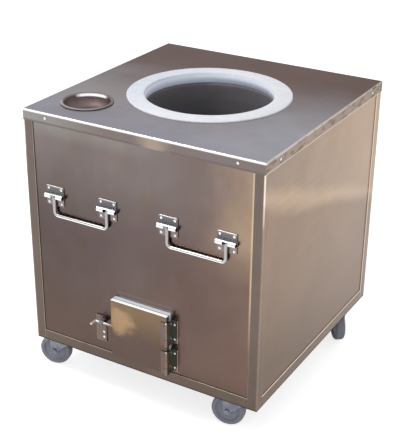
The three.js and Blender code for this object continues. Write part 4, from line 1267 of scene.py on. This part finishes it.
def casters():
    for corner, heading in HEADINGS.items():
        x = -CASTER_PLACE if corner.endswith("left") else CASTER_PLACE
        y = -CASTER_PLACE if corner.startswith("front") else CASTER_PLACE
        swivel = at(x, y, 0) @ Matrix.Rotation(math.radians(heading), 4, "Z")
        caster_top(f"caster_{corner}", at(x, y, 0))
        caster_yoke(f"caster_{corner}", swivel)
        caster_wheel(f"caster_{corner}", swivel)


# -------- stage, light and camera, in metres
FLOOR_COLOUR = (0.8, 0.8, 0.8, 1)
FLOOR_GLOW = (0.72, 0.72, 0.72, 1)
SKY_LEVEL = 0.62
KEY_PLACE = Vector((-1.1, -1.1, 2.7))
KEY_TARGET = Vector((0, 0, 0.7))
KEY_SIZE = 0.8
KEY_POWER = 24
CAMERA_LENS = 84.0
CAMERA_FROM_LID = Vector((1.4318, -2.4930, 0.9757))
CAMERA_YAW = math.radians(30.362)
CAMERA_PITCH = math.radians(25.838)
CAMERA_ROLL = math.radians(0.549)


def stage():
    """A pale floor, a soft key light from the upper left, and a white surround."""
    bpy.ops.mesh.primitive_plane_add(size=40, location=(0, 0, -0.0005))
    floor = bpy.context.object
    floor.name = "floor"
    paint = coat("floor_paint", Roughness=0.9, Base_Color=FLOOR_COLOUR)
    paint.glow(paint.seen(), FLOOR_GLOW)
    floor.data.materials.append(paint.holder)

    world = bpy.data.worlds.new("surround")
    bpy.context.scene.world = world
    sky = Paint(world, "Background", Color=(1, 1, 1, 1))
    sky.finish(Strength=sky.seen() * (1 - SKY_LEVEL) + SKY_LEVEL)

    light = bpy.data.lights.new("key_softbox", "AREA")
    light.size = KEY_SIZE
    light.energy = KEY_POWER
    key = shown("key_softbox", light)
    key.location = KEY_PLACE
    key.rotation_mode = "QUATERNION"
    key.rotation_quaternion = (KEY_TARGET - KEY_PLACE).to_track_quat("-Z", "Y")


def camera():
    """Looks down on the oven's front right corner."""
    lens = bpy.data.cameras.new("camera")
    lens.lens = CAMERA_LENS
    lens.sensor_width = 36
    made = shown("camera", lens)
    yaw, pitch, roll = CAMERA_YAW, CAMERA_PITCH, CAMERA_ROLL
    back = Vector((math.sin(yaw) * math.cos(pitch), -math.cos(yaw) * math.cos(pitch), math.sin(pitch)))
    level = Vector((math.cos(yaw), math.sin(yaw), 0))
    above = back.cross(level)
    right = level * math.cos(roll) + above * math.sin(roll)
    up = above * math.cos(roll) - level * math.sin(roll)
    turn = Matrix((right, up, back)).transposed().to_4x4()
    place = Vector((CENTRE.x, CENTRE.y, LID_TOP * MM)) + CAMERA_FROM_LID
    made.matrix_world = Matrix.Translation(place) @ turn
    bpy.context.scene.camera = made


# -------- the whole
bpy.context.scene.view_settings.view_transform = "Standard"
camera()
stage()
dress_frame()
lid()
lid_screws()
mouth_ring()
clay_pot()
water_cup()
fire_door()
hinge("hinge_upper")
hinge("hinge_lower")
latch()
handles()
casters()
